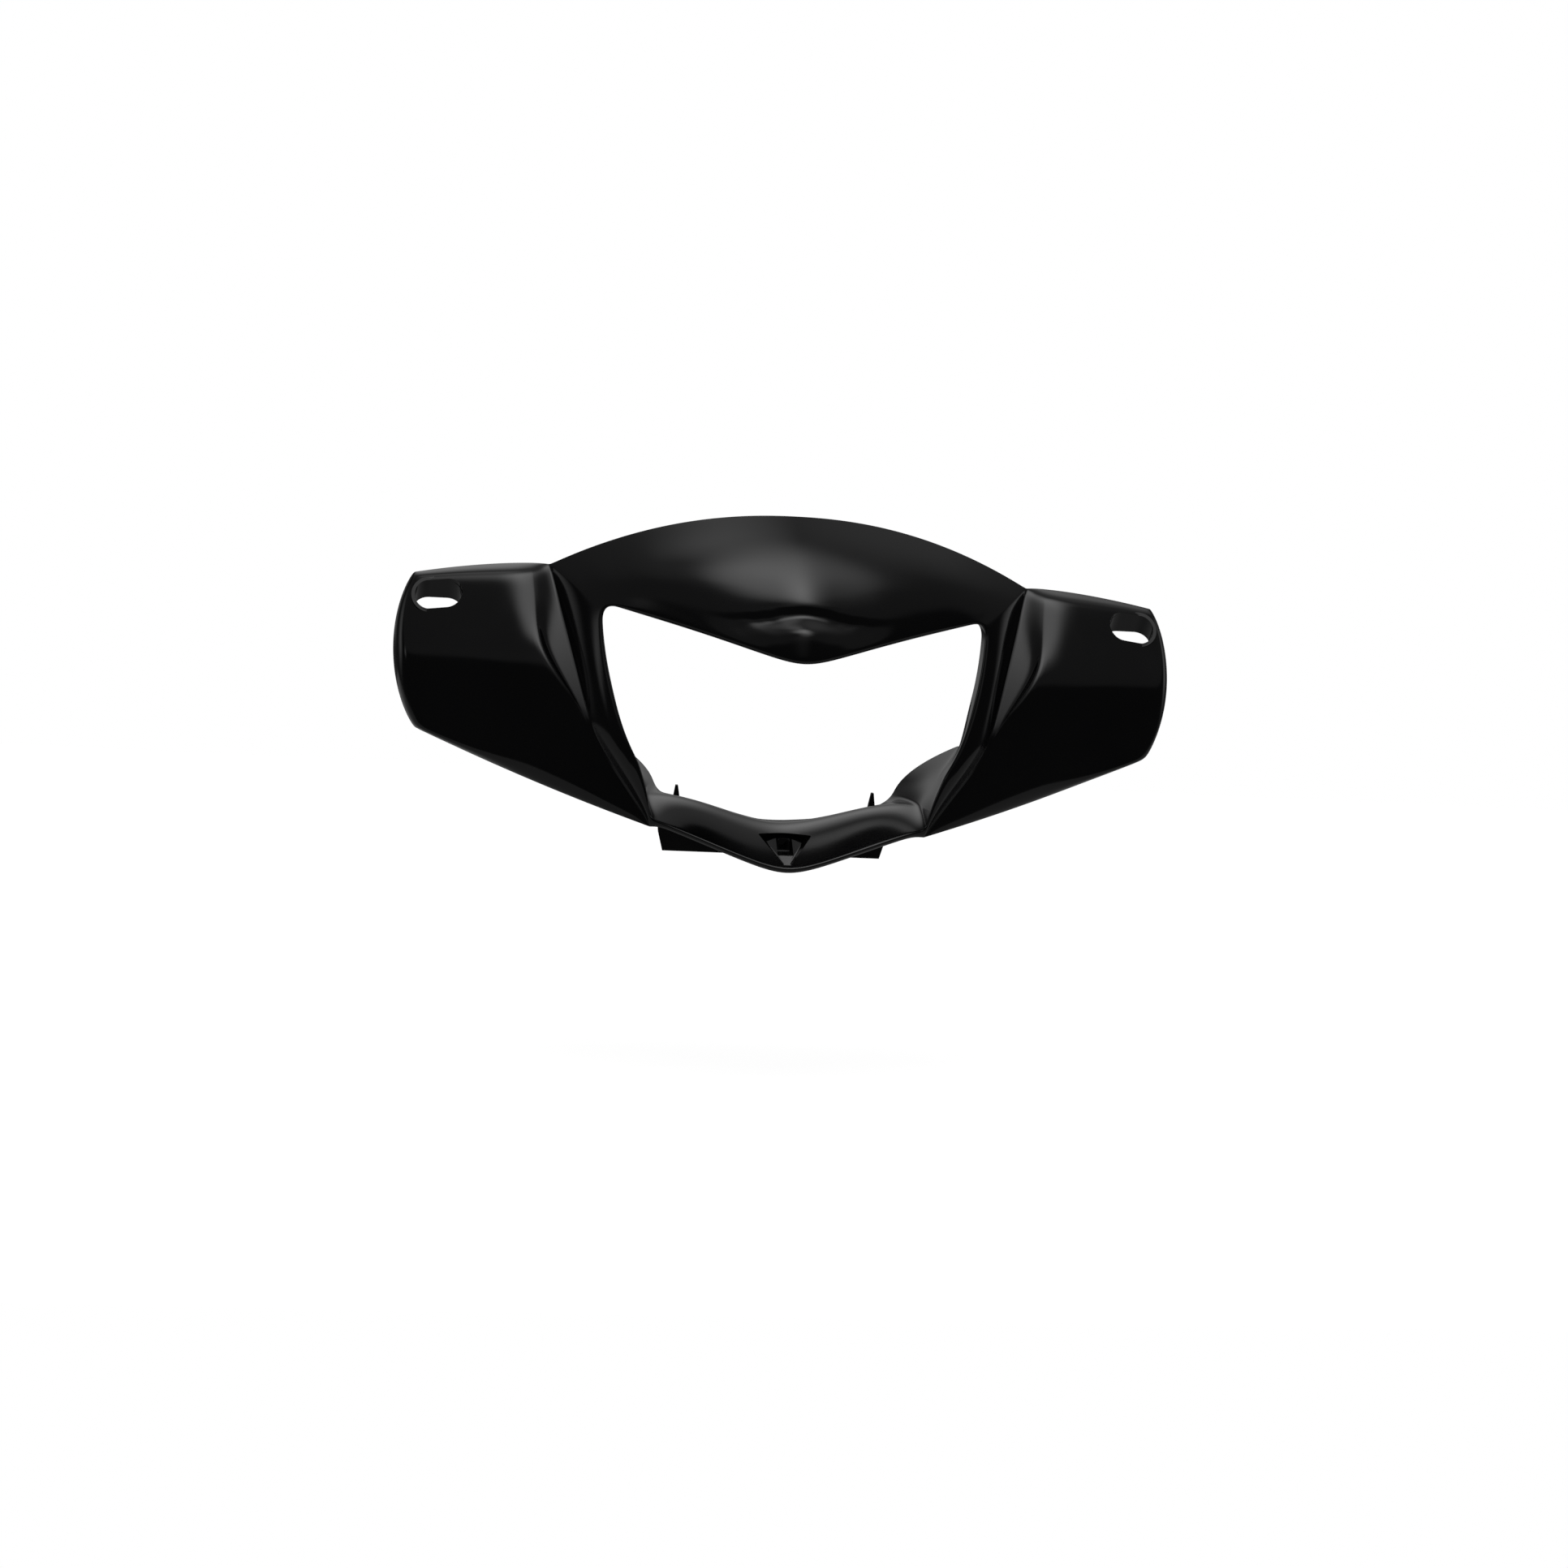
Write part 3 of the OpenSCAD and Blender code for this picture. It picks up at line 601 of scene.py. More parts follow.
def wing_pulls(wing, wing_n, edge):
    n = np.array([[edge[i] if k == 0 else settle(wing_n[i, k], wing[i, k]) for k in range(FINS + 1)]
                  for i in range(ROWS + 1)])
    for _ in range(2):
        old = n.copy()
        for i in range(ROWS + 1):
            for k in range(1, FINS + 1):
                n[i, k] = unit(2 * old[i, k] + old[i, k - 1] + old[i, min(FINS, k + 1)]
                               + 0.5 * old[min(ROWS, i + 1), k] + 0.5 * old[max(0, i - 1), k])
    return n


def to_world(points):
    """Millimetres from the beak's tip, turned into metres from the chin's screw hole."""
    return (np.asarray(points) + vec(0, -SCREW_Y, -SCREW_Z)) * MM


def rim_loop():
    """The skin's outline, all the way round."""
    loop = [ring_id(m, C_OUT) for m in range(S_NOTCH + 1)]
    loop += [right_id(0, k) for k in range(1, FINS + 1)]
    loop += [right_id(i, FINS) for i in range(1, ROWS + 1)]
    loop += [right_id(ROWS, k) for k in range(FINS - 1, 0, -1)]
    loop += [ring_id(m, C_OUT) for m in range(S_FOOT + 1, N_RING - S_FOOT)]
    loop += [left_id(ROWS, k) for k in range(1, FINS + 1)]
    loop += [left_id(i, FINS) for i in range(ROWS - 1, -1, -1)]
    loop += [left_id(0, k) for k in range(FINS - 1, 0, -1)]
    return loop + [ring_id(m, C_OUT) for m in range(N_RING - S_NOTCH, N_RING)]


def rear_loop():
    """The return wall's back edge, all the way round."""
    return [ring_id(m, 0) for m in range(N_RING)]


def in_one_list(ring, wing):
    """Points in the order of ring_id, right_id and left_id."""
    beyond = wing[:, 1:].reshape(-1, 3)
    return np.concatenate([ring.reshape(-1, 3), beyond, beyond * vec(-1, 1, 1)])


def finish_of(m):
    """The chin and the floor behind it are satin, and the rest of the outer face is glossy."""
    return SATIN if min(half_of(m), half_of(m + 1)) > S_FOOT else GLOSS


def shell_mesh():
    """The closed skin as quads: outer face, inner face and the edges between them."""
    ring, wing = control_net()
    wing_n = row_normals(wing, False)
    ring_n = ring_pulls(ring, wing_n)
    wing_n = wing_pulls(wing, wing_n, [ring_n[S_NOTCH + i, C_OUT] for i in range(ROWS + 1)])
    skin = in_one_list(ring, wing)
    inner = skin - WALL * in_one_list(ring_n, wing_n)
    quads = [(ring_id(m + 1, j), ring_id(m + 1, j + 1), ring_id(m, j + 1), ring_id(m, j))
             for m in range(N_RING) for j in range(C_OUT)]
    finishes = [finish_of(m) for m in range(N_RING) for j in range(C_OUT)]
    for i in range(ROWS):
        for k in range(FINS):
            quads.append((right_id(i + 1, k), right_id(i + 1, k + 1), right_id(i, k + 1), right_id(i, k)))
            quads.append((left_id(i, k), left_id(i, k + 1), left_id(i + 1, k + 1), left_id(i + 1, k)))
            finishes += [GLOSS, GLOSS]
    n_skin = len(skin)
    faces = quads + [tuple(v + n_skin for v in reversed(q)) for q in quads]
    finishes += [SATIN] * len(quads)
    for loop in (rim_loop(), rear_loop()[::-1]):
        for a, b in zip(loop, loop[1:] + loop[:1]):
            faces.append((a, b, b + n_skin, a + n_skin))
            finishes.append(GLOSS)
    mesh = bpy.data.meshes.new("cowl_skin")
    mesh.from_pydata(to_world(np.concatenate([skin, inner])).tolist(), [], faces)
    mesh.polygons.foreach_set("material_index", finishes)
    return mesh, ring, ring_n, n_skin


# Solids that are moulded onto the skin, and the voids cut from it
def solid(name, verts, faces, finish=SATIN):
    mesh = bpy.data.meshes.new(name)
    mesh.from_pydata(to_world(verts).tolist(), [], faces)
    mesh.polygons.foreach_set("material_index", [finish] * len(faces))
    bm = bmesh.new()
    bm.from_mesh(mesh)
    bmesh.ops.recalc_face_normals(bm, faces=bm.faces)
    bm.to_mesh(mesh)
    bm.free()
    return mesh


def prism(name, outline, place, low, high, finish=SATIN):
    """A prism: outline is a list of 2-D points, and place(a, b, c) puts a point in space."""
    n = len(outline)
    verts = [place(a, b, c) for c in (low, high) for a, b in outline]
    sides = [(k, (k + 1) % n, (k + 1) % n + n, k + n) for k in range(n)]
    return solid(name, verts, sides + [tuple(range(n)), tuple(range(2 * n - 1, n - 1, -1))], finish)


def along_y(x, z, y):
    return (x, y, z)


def trimmed(mesh, point, normal):
    """Cuts away what lies on the normal's side of a plane, and closes the cut."""
    bm = bmesh.new()
    bm.from_mesh(mesh)
    cut = bmesh.ops.bisect_plane(bm, geom=bm.verts[:] + bm.edges[:] + bm.faces[:], plane_co=to_world(point),
                                 plane_no=normal, clear_outer=True)
    edges = [g for g in cut["geom_cut"] if isinstance(g, bmesh.types.BMEdge)]
    bmesh.ops.contextual_create(bm, geom=edges)
    bmesh.ops.recalc_face_normals(bm, faces=bm.faces)
    bm.to_mesh(mesh)
    bm.free()
    return mesh


def rounded(mesh, width, segments=3, lowest=math.radians(30)):
    """Rounds every edge that is sharper than the lowest angle."""
    bm = bmesh.new()
    bm.from_mesh(mesh)
    sharp = [e for e in bm.edges if e.calc_face_angle(0) > lowest]
    bmesh.ops.bevel(bm, geom=sharp, offset=width * MM, segments=segments, profile=0.5, affect="EDGES",
                    clamp_overlap=True)
    bm.to_mesh(mesh)
    bm.free()
    return mesh


def mirrored(mesh):
    """The same solid on the other side of the cowl."""
    twin = mesh.copy()
    twin.transform(Matrix.Scale(-1, 4, Vector((1, 0, 0))))
    twin.flip_normals()
    return twin


def joined(name, meshes):
    bm = bmesh.new()
    for mesh in meshes:
        bm.from_mesh(mesh)
    made = bpy.data.meshes.new(name)
    bm.to_mesh(made)
    bm.free()
    return made


def pocket_outline(grow):
    """The pocket's triangle with its low corner cut off, grown by the wall round it."""
    half_top = POCKET_HALF + POCKET_GROW_TOP * grow
    half_low = POCKET_LOW_HALF + POCKET_GROW_LOW * grow
    return [(-half_top, POCKET_TOP + grow), (half_top, POCKET_TOP + grow),
            (half_low, POCKET_LOW - grow), (-half_low, POCKET_LOW - grow)]


def chin_profile():
    """The chin's face at the middle, from its crest down to the opening's edge."""
    return section(S_END)[2:6]


def pocket_block():
    """The pocket's walls, trimmed to stay under the chin's face."""
    mesh = prism("pocket_block", pocket_outline(WALL), along_y, POCKET_FRONT, SCREW_Y + WALL)
    profile = chin_profile()
    for a, b in zip(profile, profile[1:]):
        outward = (0, -(a - b)[2] / norm(a - b), (a - b)[1] / norm(a - b))
        mesh = trimmed(mesh, a + vec(0, 0, -POCKET_SUNK), outward)
    return mesh


def pocket_void():
    """The triangular recess, whose floor follows the chin's face from its low to its high edge."""
    face_z, face_y = zip(*sorted((p[2], p[1]) for p in chin_profile()))

    def to_floor(x, z, inside):
        return (x, float(np.interp(z, face_z, face_y)) + POCKET_DEEP if inside else CHIN_Y - POCKET_SPARE, z)

    return rounded(prism("pocket_void", pocket_outline(0), to_floor, 0, 1), POCKET_ROUND)


def well_void():
    """The square well that leads from the recess to the screw hole."""
    corners = [(-WELL_HALF, WELL_LOW), (WELL_HALF, WELL_LOW), (WELL_HALF, WELL_TOP), (-WELL_HALF, WELL_TOP)]
    return rounded(prism("screw_well", corners, along_y, CHIN_Y, SCREW_Y), WELL_ROUND)


def screw_void():
    turn = [2 * math.pi * k / ROUND_SIDES for k in range(ROUND_SIDES)]
    circle = [(SCREW_D / 2 * math.cos(a), SCREW_Z + SCREW_D / 2 * math.sin(a)) for a in turn]
    return prism("screw_void", circle, along_y, SCREW_Y - 1, SCREW_Y + SLEEVE_LEN + 1)


def rear_wall():
    """The plate under the floor's back edge, with its two low corners."""
    under = [(p[0], p[2] - WALL * 0.4) for p in (section(i)[0] for i in range(S_FOOT, S_END + 1))]
    half = [(REAR_HALF, REAR_Z), (REAR_HALF + REAR_FLARE, REAR_Z + REAR_FLARE_H)] + under
    outline = half + [(-x, z) for x, z in half[-2::-1]]
    return prism("rear_wall", outline, along_y, REAR_Y, REAR_Y + WALL)


def locating_pin():
    foot, tip = FLOOR_CREST_Z - PIN_SUNK, FLOOR_CREST_Z + PIN_H
    outline = [(PIN_X - PIN_FOOT_IN, foot), (PIN_X + PIN_FOOT_OUT, foot + PIN_FOOT_RISE),
               (PIN_X + PIN_TIP_HALF, tip), (PIN_X - PIN_TIP_HALF, tip)]
    return prism("locating_pin", outline, along_y, REAR_Y, REAR_Y + PIN_D)


def lamp_rib(ring, pulls):
    """The rib that ties a lamp boss to the frame, between the skin's middle and the boss's end."""
    mid = (ring - WALL / 2 * pulls)[S_SIDE + 1][C_EDGE:]
    x, y, z = LAMP_SEAT
    outline = [(p[0], p[1]) for p in mid[1:-2]]
    outline += [(x + RIB_END_HALF, y + PILOT_LEN), (x - RIB_END_HALF, y + PILOT_LEN)]
    return prism("lamp_rib", outline, lambda a, b, c: (a, b, z + c), -RIB_HALF, RIB_HALF)


def stadium(width, height, steps=24):
    r = height / 2
    arc = [math.pi * (k / steps - 0.5) for k in range(steps + 1)]
    right = [((width - height) / 2 + r * math.cos(a), r * math.sin(a)) for a in arc]
    return right + [(-x, -z) for x, z in right]


MIRROR_AT = vec(MIRROR_X, face(MIRROR_X, MIRROR_Z), MIRROR_Z)


def at_mirror(a, b, c):
    """A point in the mirror hole's own frame: a across, b over, c out along its axis."""
    turn = math.pi / 2 - MIRROR_TILT
    y = b * math.cos(turn) - c * math.sin(turn)
    z = b * math.sin(turn) + c * math.cos(turn)
    return MIRROR_AT + vec(a, y, z)


def mirror_collar():
    outline = stadium(MIRROR_W + 2 * COLLAR_WALL, MIRROR_H + 2 * COLLAR_WALL)
    mesh = prism("mirror_collar", outline, at_mirror, -COLLAR_D, COLLAR_SPARE, GLOSS)
    inward = (0, math.cos(UPPER_LEAN), -math.sin(UPPER_LEAN))
    return trimmed(mesh, MIRROR_AT + vec(*inward) * WALL / 2, [-c for c in inward])


def mirror_void():
    return prism("mirror_void", stadium(MIRROR_W, MIRROR_H), at_mirror, -COLLAR_D - COLLAR_SPARE, HOLE_SPARE,
                 GLOSS)


class Tree:
    """A geometry node tree, with one method that makes a node, sets it and fills its sockets."""

    def __init__(self, name):
        self.tree = bpy.data.node_groups.new(name, "GeometryNodeTree")
        self.tree.interface.new_socket("Geometry", in_out="INPUT", socket_type="NodeSocketGeometry")
        self.tree.interface.new_socket("Geometry", in_out="OUTPUT", socket_type="NodeSocketGeometry")
        self.given = self.tree.nodes.new("NodeGroupInput")

    def value(self, name, default):
        made = self.tree.interface.new_socket(name, in_out="INPUT", socket_type="NodeSocketFloat")
        made.default_value = default
        return self.given.outputs[name]

    def node(self, kind, settings=(), **sockets):
        made = self.tree.nodes.new(kind)
        for key, value in dict(settings).items():
            setattr(made, key, value)
        for name, value in sockets.items():
            socket = made.inputs[int(name[2:]) if name.startswith("at") else name.replace("_", " ")]
            if isinstance(value, bpy.types.NodeSocket):
                self.tree.links.new(value, socket)
            else:
                socket.default_value = value
        return made

    def maths(self, operation, a, b):
        return self.node("ShaderNodeMath", {"operation": operation}, at0=a, at1=b).outputs[0]

    def finish(self, geometry):
        self.node("NodeGroupOutput", Geometry=geometry)
        return self.tree


def boss_tree(material):
    """A round boss with a bore, its foot solid, set on every point of the mesh it is given."""
    t = Tree("screw_boss")
    outer, bore = t.value("Outer Diameter", BOSS_D * MM), t.value("Bore Diameter", PILOT_D * MM)
    length, base = t.value("Length", (BOSS_BASE + PILOT_LEN) * MM), t.value("Base", BOSS_BASE * MM)
    barrel = t.node("GeometryNodeMeshCylinder", Vertices=ROUND_SIDES, Depth=length,
                    Radius=t.maths("MULTIPLY", outer, 0.5))
    hole = t.node("GeometryNodeMeshCylinder", Vertices=ROUND_SIDES, Depth=length,
                  Radius=t.maths("MULTIPLY", bore, 0.5))
    lift = t.node("ShaderNodeCombineXYZ", Z=base)
    up = t.node("GeometryNodeTransform", Geometry=hole.outputs["Mesh"], Translation=lift.outputs[0])
    tube = t.node("GeometryNodeMeshBoolean", {"operation": "DIFFERENCE", "solver": "EXACT"},
                  at0=barrel.outputs["Mesh"], at1=up.outputs["Geometry"])
    half = t.node("ShaderNodeCombineXYZ", Z=t.maths("MULTIPLY", length, 0.5))
    seated = t.node("GeometryNodeTransform", Geometry=tube.outputs["Mesh"], Translation=half.outputs[0])
    placed_on = t.node("GeometryNodeInstanceOnPoints", Points=t.given.outputs["Geometry"],
                       Instance=seated.outputs["Geometry"], Rotation=(-math.pi / 2, 0, 0))
    real = t.node("GeometryNodeRealizeInstances", Geometry=placed_on.outputs["Instances"])
    painted = t.node("GeometryNodeSetMaterial", Geometry=real.outputs["Geometry"], Material=material)
    return t.finish(painted.outputs["Geometry"])


def grown(tree, seats, sizes):
    """Runs a tree on a mesh of seat points, with sizes in millimetres, and returns its plain mesh."""
    points = bpy.data.meshes.new("seats")
    points.from_pydata(to_world(seats).tolist(), [], [])
    holder = placed("seats", points)
    modifier = holder.modifiers.new("grown", "NODES")
    modifier.node_group = tree
    for item in tree.interface.items_tree:
        if item.item_type == "SOCKET" and item.name in sizes:
            modifier[item.identifier] = sizes[item.name] * MM
    mesh = evaluated_mesh(holder)
    mesh.polygons.foreach_set("material_index", [SATIN] * len(mesh.polygons))
    bpy.data.objects.remove(holder)
    return mesh


def placed(name, mesh):
    piece = bpy.data.objects.new(name, mesh)
    bpy.context.scene.collection.objects.link(piece)
    return piece


def evaluated_mesh(piece):
    return bpy.data.meshes.new_from_object(piece.evaluated_get(bpy.context.evaluated_depsgraph_get()))


def baked(piece):
    """Turns what a piece's modifiers make into its plain mesh."""
    mesh = evaluated_mesh(piece)
    piece.modifiers.clear()
    piece.data = mesh


def carved(piece, tool_mesh, operation):
    """Adds a solid to a piece's mesh or cuts it away."""
    tool = placed("tool", tool_mesh)
    modifier = piece.modifiers.new("carve", "BOOLEAN")
    modifier.operation, modifier.solver, modifier.object = operation, "EXACT", tool
    modifier.use_self = operation == "UNION"
    baked(piece)
    bpy.data.objects.remove(tool)


def creased(mesh, n_skin):
    """Keeps the skin's edges sharp and its few firm lines firm when the surface is subdivided."""
    bm = bmesh.new()
    bm.from_mesh(mesh)
    bm.verts.ensure_lookup_table()
    layer = bm.edges.layers.float.new("crease_edge")
    valleys = [[ring_id(m, C_OUT) for m in range(S_NOTCH, S_FOOT + 2)],
               [ring_id(N_RING - m, C_OUT) for m in range(S_NOTCH, S_FOOT + 2)]]
    shoulders = [[point_id(i, FLANK_COLS) for i in range(ROWS - SHOULDER_SHORT)]
                 for point_id in (right_id, left_id)]
    lines = [(loop + loop[:1], (0, n_skin), 1.0) for loop in (rim_loop(), rear_loop())]
    lines += [(line, (0,), VALLEY_CREASE) for line in valleys]
    lines += [(line, (0,), SHOULDER_CREASE) for line in shoulders]
    for line, shifts, value in lines:
        for a, b in zip(line, line[1:]):
            for shift in shifts:
                edge = bm.edges.get((bm.verts[a + shift], bm.verts[b + shift]))
                if edge:
                    edge[layer] = value
    bm.to_mesh(mesh)
    bm.free()


def moulded_on(ring, pulls, material):
    """Everything that stands on the skin: bosses, sleeve, pocket, rear wall, ribs, collars and pins."""
    tree = boss_tree(material)
    wing_seat = vec(BOSS_X, face(BOSS_X, BOSS_Z) + WALL / 2, BOSS_Z)
    bosses = grown(tree, [wing_seat, flip(wing_seat), LAMP_SEAT, flip(LAMP_SEAT)],
                   {"Outer Diameter": BOSS_D, "Bore Diameter": PILOT_D, "Length": BOSS_BASE + PILOT_LEN,
                    "Base": BOSS_BASE})
    sleeve = grown(tree, [vec(0, SCREW_Y + SLEEVE_START, SCREW_Z)],
                   {"Outer Diameter": SLEEVE_D, "Bore Diameter": SCREW_D,
                    "Length": SLEEVE_LEN - SLEEVE_START, "Base": -SLEEVE_START})
    rib, collar, pin = lamp_rib(ring, pulls), mirror_collar(), locating_pin()
    return joined("moulded_on", [bosses, sleeve, pocket_block(), rear_wall(), rib, mirrored(rib),
                                 collar, mirrored(collar), pin, mirrored(pin)])


def build_cowl(materials):
    mesh, ring, pulls, n_skin = shell_mesh()
    creased(mesh, n_skin)
    cowl = placed("cowl_moulding", mesh)
    smoother = cowl.modifiers.new("smooth", "SUBSURF")
    smoother.levels = smoother.render_levels = SUBDIVISIONS
    smoother.use_limit_surface = True
    baked(cowl)
    carved(cowl, moulded_on(ring, pulls, materials[SATIN]), "UNION")
    hole = mirror_void()
    carved(cowl, joined("voids", [hole, mirrored(hole), well_void()]), "DIFFERENCE")
    carved(cowl, pocket_void(), "DIFFERENCE")
    carved(cowl, screw_void(), "DIFFERENCE")
    cowl.data.materials.clear()
    for material in materials:
        cowl.data.materials.append(material)
    cowl.data.shade_smooth()
    cowl.data.set_sharp_from_angle(angle=SHARP_ANGLE)
    return cowl


class Socket:
    """A shader socket that takes part in plain arithmetic."""

    def __init__(self, shader, socket):
        self.shader, self.socket = shader, socket

    def maths(self, operation, *others):
        values = [o.socket if isinstance(o, Socket) else o for o in (self, *others)]
        return self.shader.node("ShaderNodeMath", {"operation": operation},
                                **{"at%d" % k: v for k, v in enumerate(values)})

    def __add__(self, other):
        return self.maths("ADD", other)

    def __mul__(self, other):
        return self.maths("MULTIPLY", other)

    __radd__, __rmul__ = __add__, __mul__

    def ramp(self, low, high, to_low=0.0, to_high=1.0, kind="SMOOTHERSTEP"):
        """Runs from to_low at low to to_high at high."""
        return self.shader.node("ShaderNodeMapRange", {"interpolation_type": kind}, Value=self,
                                From_Min=low, From_Max=high, To_Min=to_low, To_Max=to_high)


class Shader:
    """A material's or the world's nodes, made one way."""

    def __init__(self, tree):
        self.tree = tree
        tree.nodes.clear()

    def node(self, kind, settings=(), output=0, **sockets):
        made = self.tree.nodes.new(kind)
        for key, value in dict(settings).items():
            setattr(made, key, value)
        for name, value in sockets.items():
            key = int(name[2:]) if name.startswith("at") else name.replace("_", " ")
            value = value.socket if isinstance(value, Socket) else value
            if isinstance(value, bpy.types.NodeSocket):
                self.tree.links.new(value, made.inputs[key])
            else:
                made.inputs[key].default_value = value
        return Socket(self, made.outputs[output]) if made.outputs else made


def moulded_plastic(name, colour, rough, rough_swing, grain, grain_depth):
    """Black moulded plastic with slightly uneven shine and a fine ripple, its depth in millimetres."""
    material = bpy.data.materials.new(name)
    material.use_nodes = True
    s = Shader(material.node_tree)
    where = s.node("ShaderNodeTexCoord", output="Object")
    cloudy = s.node("ShaderNodeTexNoise", Vector=where, Scale=14.0, Detail=3.0, Roughness=0.55)
    fine = s.node("ShaderNodeTexNoise", Vector=where, Scale=grain, Detail=2.0, Roughness=0.5)
    roughness = cloudy.ramp(0.3, 0.7, rough - rough_swing, rough + rough_swing)
    tint = s.node("ShaderNodeMix", {"data_type": "RGBA"}, output=2, Factor=cloudy.ramp(0.25, 0.75),
                  at6=(*[c * 0.85 for c in colour], 1), at7=(*[c * 1.15 for c in colour], 1))
    ripple = s.node("ShaderNodeBump", Height=fine, Strength=1.0, Distance=grain_depth * MM)
    skin = s.node("ShaderNodeBsdfPrincipled", Base_Color=tint, Roughness=roughness, Normal=ripple, IOR=1.5)
    s.node("ShaderNodeOutputMaterial", Surface=skin)
    return material


def gloss_black():
    return moulded_plastic("gloss_black_moulding", (0.002, 0.002, 0.0023), rough=0.14, rough_swing=0.03,
                           grain=260.0, grain_depth=0.004)


def satin_black():
    return moulded_plastic("satin_black_inner_face", (0.012, 0.012, 0.0125), rough=0.42, rough_swing=0.04,
                           grain=1500.0, grain_depth=0.012)


def floor_paper(name, colour, lift):
    """Pale paper that the camera sees as white where no shadow falls on it."""
    material = bpy.data.materials.new(name)
    material.use_nodes = True
    s = Shader(material.node_tree)
    camera_ray = s.node("ShaderNodeLightPath", output="Is Camera Ray")
    through = s.node("ShaderNodeLightPath", output="Is Transmission Ray")
    paper = s.node("ShaderNodeBsdfDiffuse", Color=(*colour, 1))
    seen = camera_ray.maths("MAXIMUM", through)
    glow = s.node("ShaderNodeEmission", Color=(1, 1, 1, 1), Strength=seen * lift)
    s.node("ShaderNodeOutputMaterial", Surface=s.node("ShaderNodeAddShader", at0=paper, at1=glow))
    return material


# Camera: the photograph's view. The focal length, the frame and the aim are in the photograph's pixels.
FOCAL = 3600.0
FRAME = 1932.0
AIM_X = 992.0
AIM_Y = 824.7
YAW = math.radians(7.58)
PITCH = math.radians(10)
ROLL = math.radians(3.73)
DISTANCE = 1623.0
SENSOR = 36.0


def photo_camera():
    ahead = vec(math.sin(YAW) * math.cos(PITCH), math.cos(YAW) * math.cos(PITCH), -math.sin(PITCH))
    level = vec(math.cos(YAW), -math.sin(YAW), 0)
    upright = np.cross(level, ahead)
    right = math.cos(ROLL) * level + math.sin(ROLL) * upright
    up = -math.sin(ROLL) * level + math.cos(ROLL) * upright
    shift_x = (AIM_X - FRAME / 2) * DISTANCE / FOCAL
    shift_z = -(AIM_Y - FRAME / 2) * DISTANCE / FOCAL
    at = to_world(-shift_x * right - shift_z * up - DISTANCE * ahead)
    data = bpy.data.cameras.new("photo_camera")
    data.sensor_fit, data.sensor_width = "HORIZONTAL", SENSOR
    data.lens = FOCAL / FRAME * SENSOR
    data.clip_end = 50
    camera = placed("photo_camera", data)
    axes = Matrix((right, up, -ahead)).transposed()
    camera.matrix_world = Matrix.Translation(Vector(at)) @ axes.to_4x4()
    bpy.context.scene.camera = camera


# Lamp and floor, in metres. The gloss doesn't mirror the lamp itself; it mirrors the room below.
LAMP_AT = (0.1, -0.2, 1.8)
LAMP_AIM = (0, 0, 0.1)
LAMP_SIZE = (0.9, 0.7)
LAMP_POWER = 3
FLOOR_DROP = 0.12
FLOOR_CORNERS = [(-1, -0.4), (1, -0.4), (1, 1), (-1, 1)]
FLOOR_COLOUR = (0.45, 0.45, 0.45)
FLOOR_LIFT = 0.84


def overhead_box():
    data = bpy.data.lights.new("overhead_box", "AREA")
    data.shape, data.energy = "RECTANGLE", LAMP_POWER
    data.size, data.size_y = LAMP_SIZE
    lamp = placed("overhead_box", data)
    lamp.location = LAMP_AT
    lamp.visible_glossy = False
    lamp.rotation_euler = (Vector(LAMP_AIM) - Vector(LAMP_AT)).to_track_quat("-Z", "Y").to_euler()


def pale_floor():
    z = cad_box[0][2] - FLOOR_DROP
    mesh = bpy.data.meshes.new("floor")
    mesh.from_pydata([(x, y, z) for x, y in FLOOR_CORNERS], [], [(0, 1, 2, 3)])
    mesh.materials.append(floor_paper("pale_floor", FLOOR_COLOUR, FLOOR_LIFT))
    return placed("floor", mesh)


# The dim room that the gloss mirrors: its plain levels, then its soft patches of light. A patch has
# an azimuth, an elevation and a half width in degrees, and a strength.
ROOM_LOW = 0.03
ROOM_WALLS = 0.09
ROOM_HIGH = 0.16
ROOM_BACK = 0.2
ROOM_FILL = 0.4
ROOM_PATCHES = [
    (15, 78, 26, 2.5),
    (12, 56, 20, 0.9),
    (34, 58, 14, 0.4),
    (140, 50, 26, 0.2),
    (2, 38, 24, 0.12),
    (-58, 22, 12, 0.7),
    (-150, 74, 16, 0.6),
    (-162, 3, 16, 0.15),
    (180, 36, 30, 0.9),
    (110, 10, 24, 0.5),
    (-110, 10, 24, 0.5),
]


def heading_of(azimuth, elevation):
    """A direction: azimuth from straight in front of the cowl, positive to the camera's right."""
    a, e = math.radians(azimuth), math.radians(elevation)
    return (math.sin(a) * math.cos(e), -math.cos(a) * math.cos(e), math.sin(e))


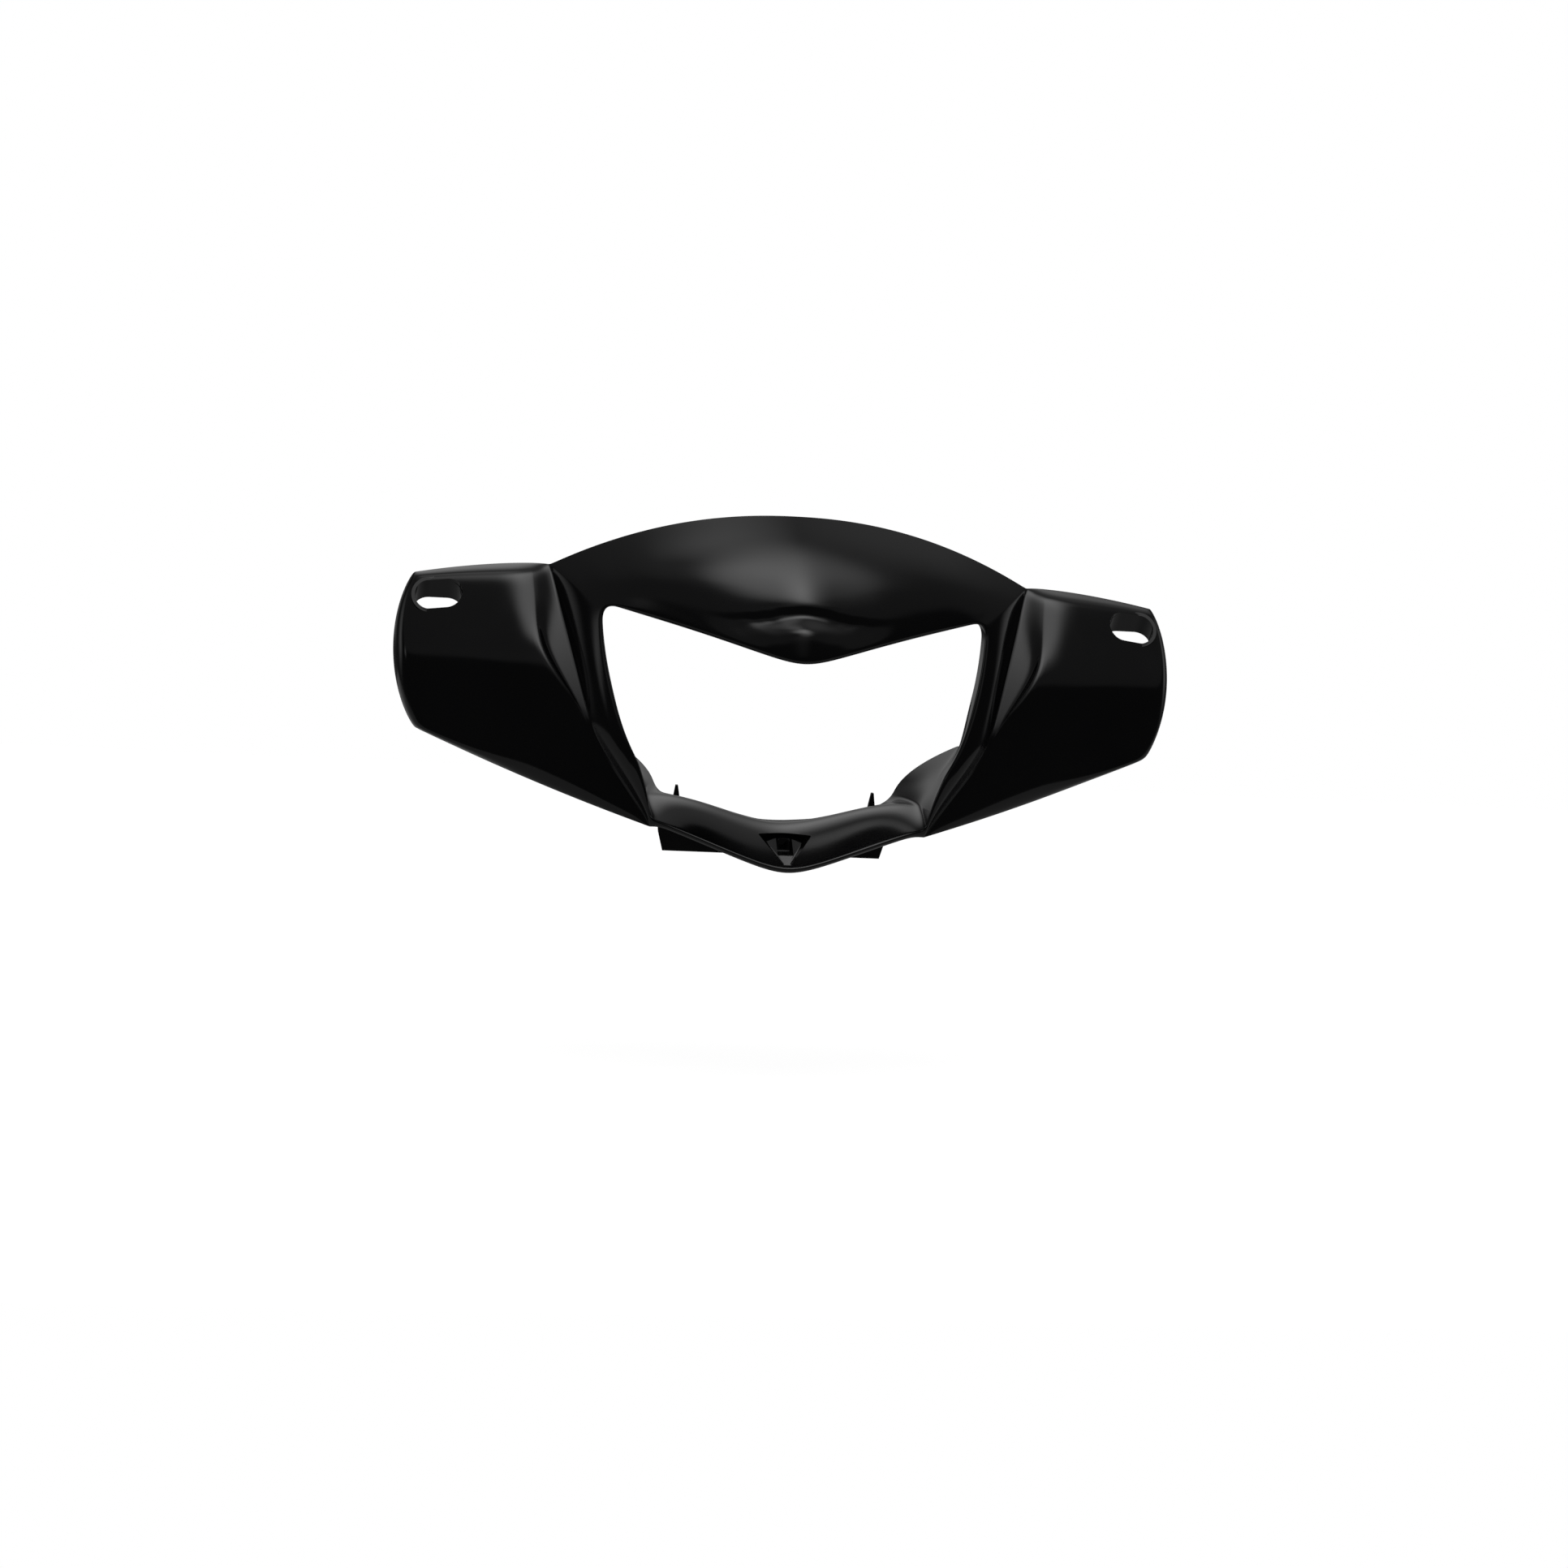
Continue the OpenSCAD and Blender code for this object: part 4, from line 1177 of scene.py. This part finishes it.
def room_seen(s):
    """The room's strength by direction: pale low behind the cowl, brighter overhead, and the patches."""
    heading = s.node("ShaderNodeTexCoord", output="Generated")
    back = s.node("ShaderNodeSeparateXYZ", output="Y", Vector=heading)
    over = s.node("ShaderNodeSeparateXYZ", output="Z", Vector=heading)
    skyline = over.ramp(-0.12, -0.02) * over.ramp(0.1, 0.35, 1.0, 0.0)
    seen = back.ramp(0.75, 0.95, 0.0, ROOM_BACK) * skyline + ROOM_LOW
    seen = seen + over.ramp(0.42, 0.58, 0.0, ROOM_WALLS) + over.ramp(0.75, 1.0, 0.0, ROOM_HIGH)
    for azimuth, elevation, width, strength in ROOM_PATCHES:
        facing = s.node("ShaderNodeVectorMath", {"operation": "DOT_PRODUCT"}, output="Value",
                        at0=heading, at1=heading_of(azimuth, elevation))
        bell = facing.ramp(math.cos(math.radians(width)), 1.0, kind="LINEAR")
        seen = seen + bell * bell * strength
    return seen


def studio_world():
    """White for camera and transmission rays, the dim room for glossy rays, an even fill for the rest."""
    world = bpy.data.worlds.new("studio")
    bpy.context.scene.world = world
    world.use_nodes = True
    s = Shader(world.node_tree)
    camera_ray = s.node("ShaderNodeLightPath", output="Is Camera Ray")
    through = s.node("ShaderNodeLightPath", output="Is Transmission Ray")
    glossy_ray = s.node("ShaderNodeLightPath", output="Is Glossy Ray")
    white = s.node("ShaderNodeBackground", Color=(1, 1, 1, 1), Strength=1.0)
    room = s.node("ShaderNodeBackground", Color=(1, 1, 1, 1), Strength=room_seen(s))
    fill = s.node("ShaderNodeBackground", Color=(1, 1, 1, 1), Strength=ROOM_FILL)
    reflected = s.node("ShaderNodeMixShader", Fac=glossy_ray, at1=fill, at2=room)
    seen = camera_ray.maths("MAXIMUM", through)
    shown = s.node("ShaderNodeMixShader", Fac=seen, at1=reflected, at2=white)
    s.node("ShaderNodeOutputWorld", Surface=shown)


cowl = build_cowl([gloss_black(), satin_black()])
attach(cowl, "root")
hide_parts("cowl")

photo_camera()
studio_world()
overhead_box()
pale_floor()

bpy.context.scene.view_settings.view_transform = "Standard"
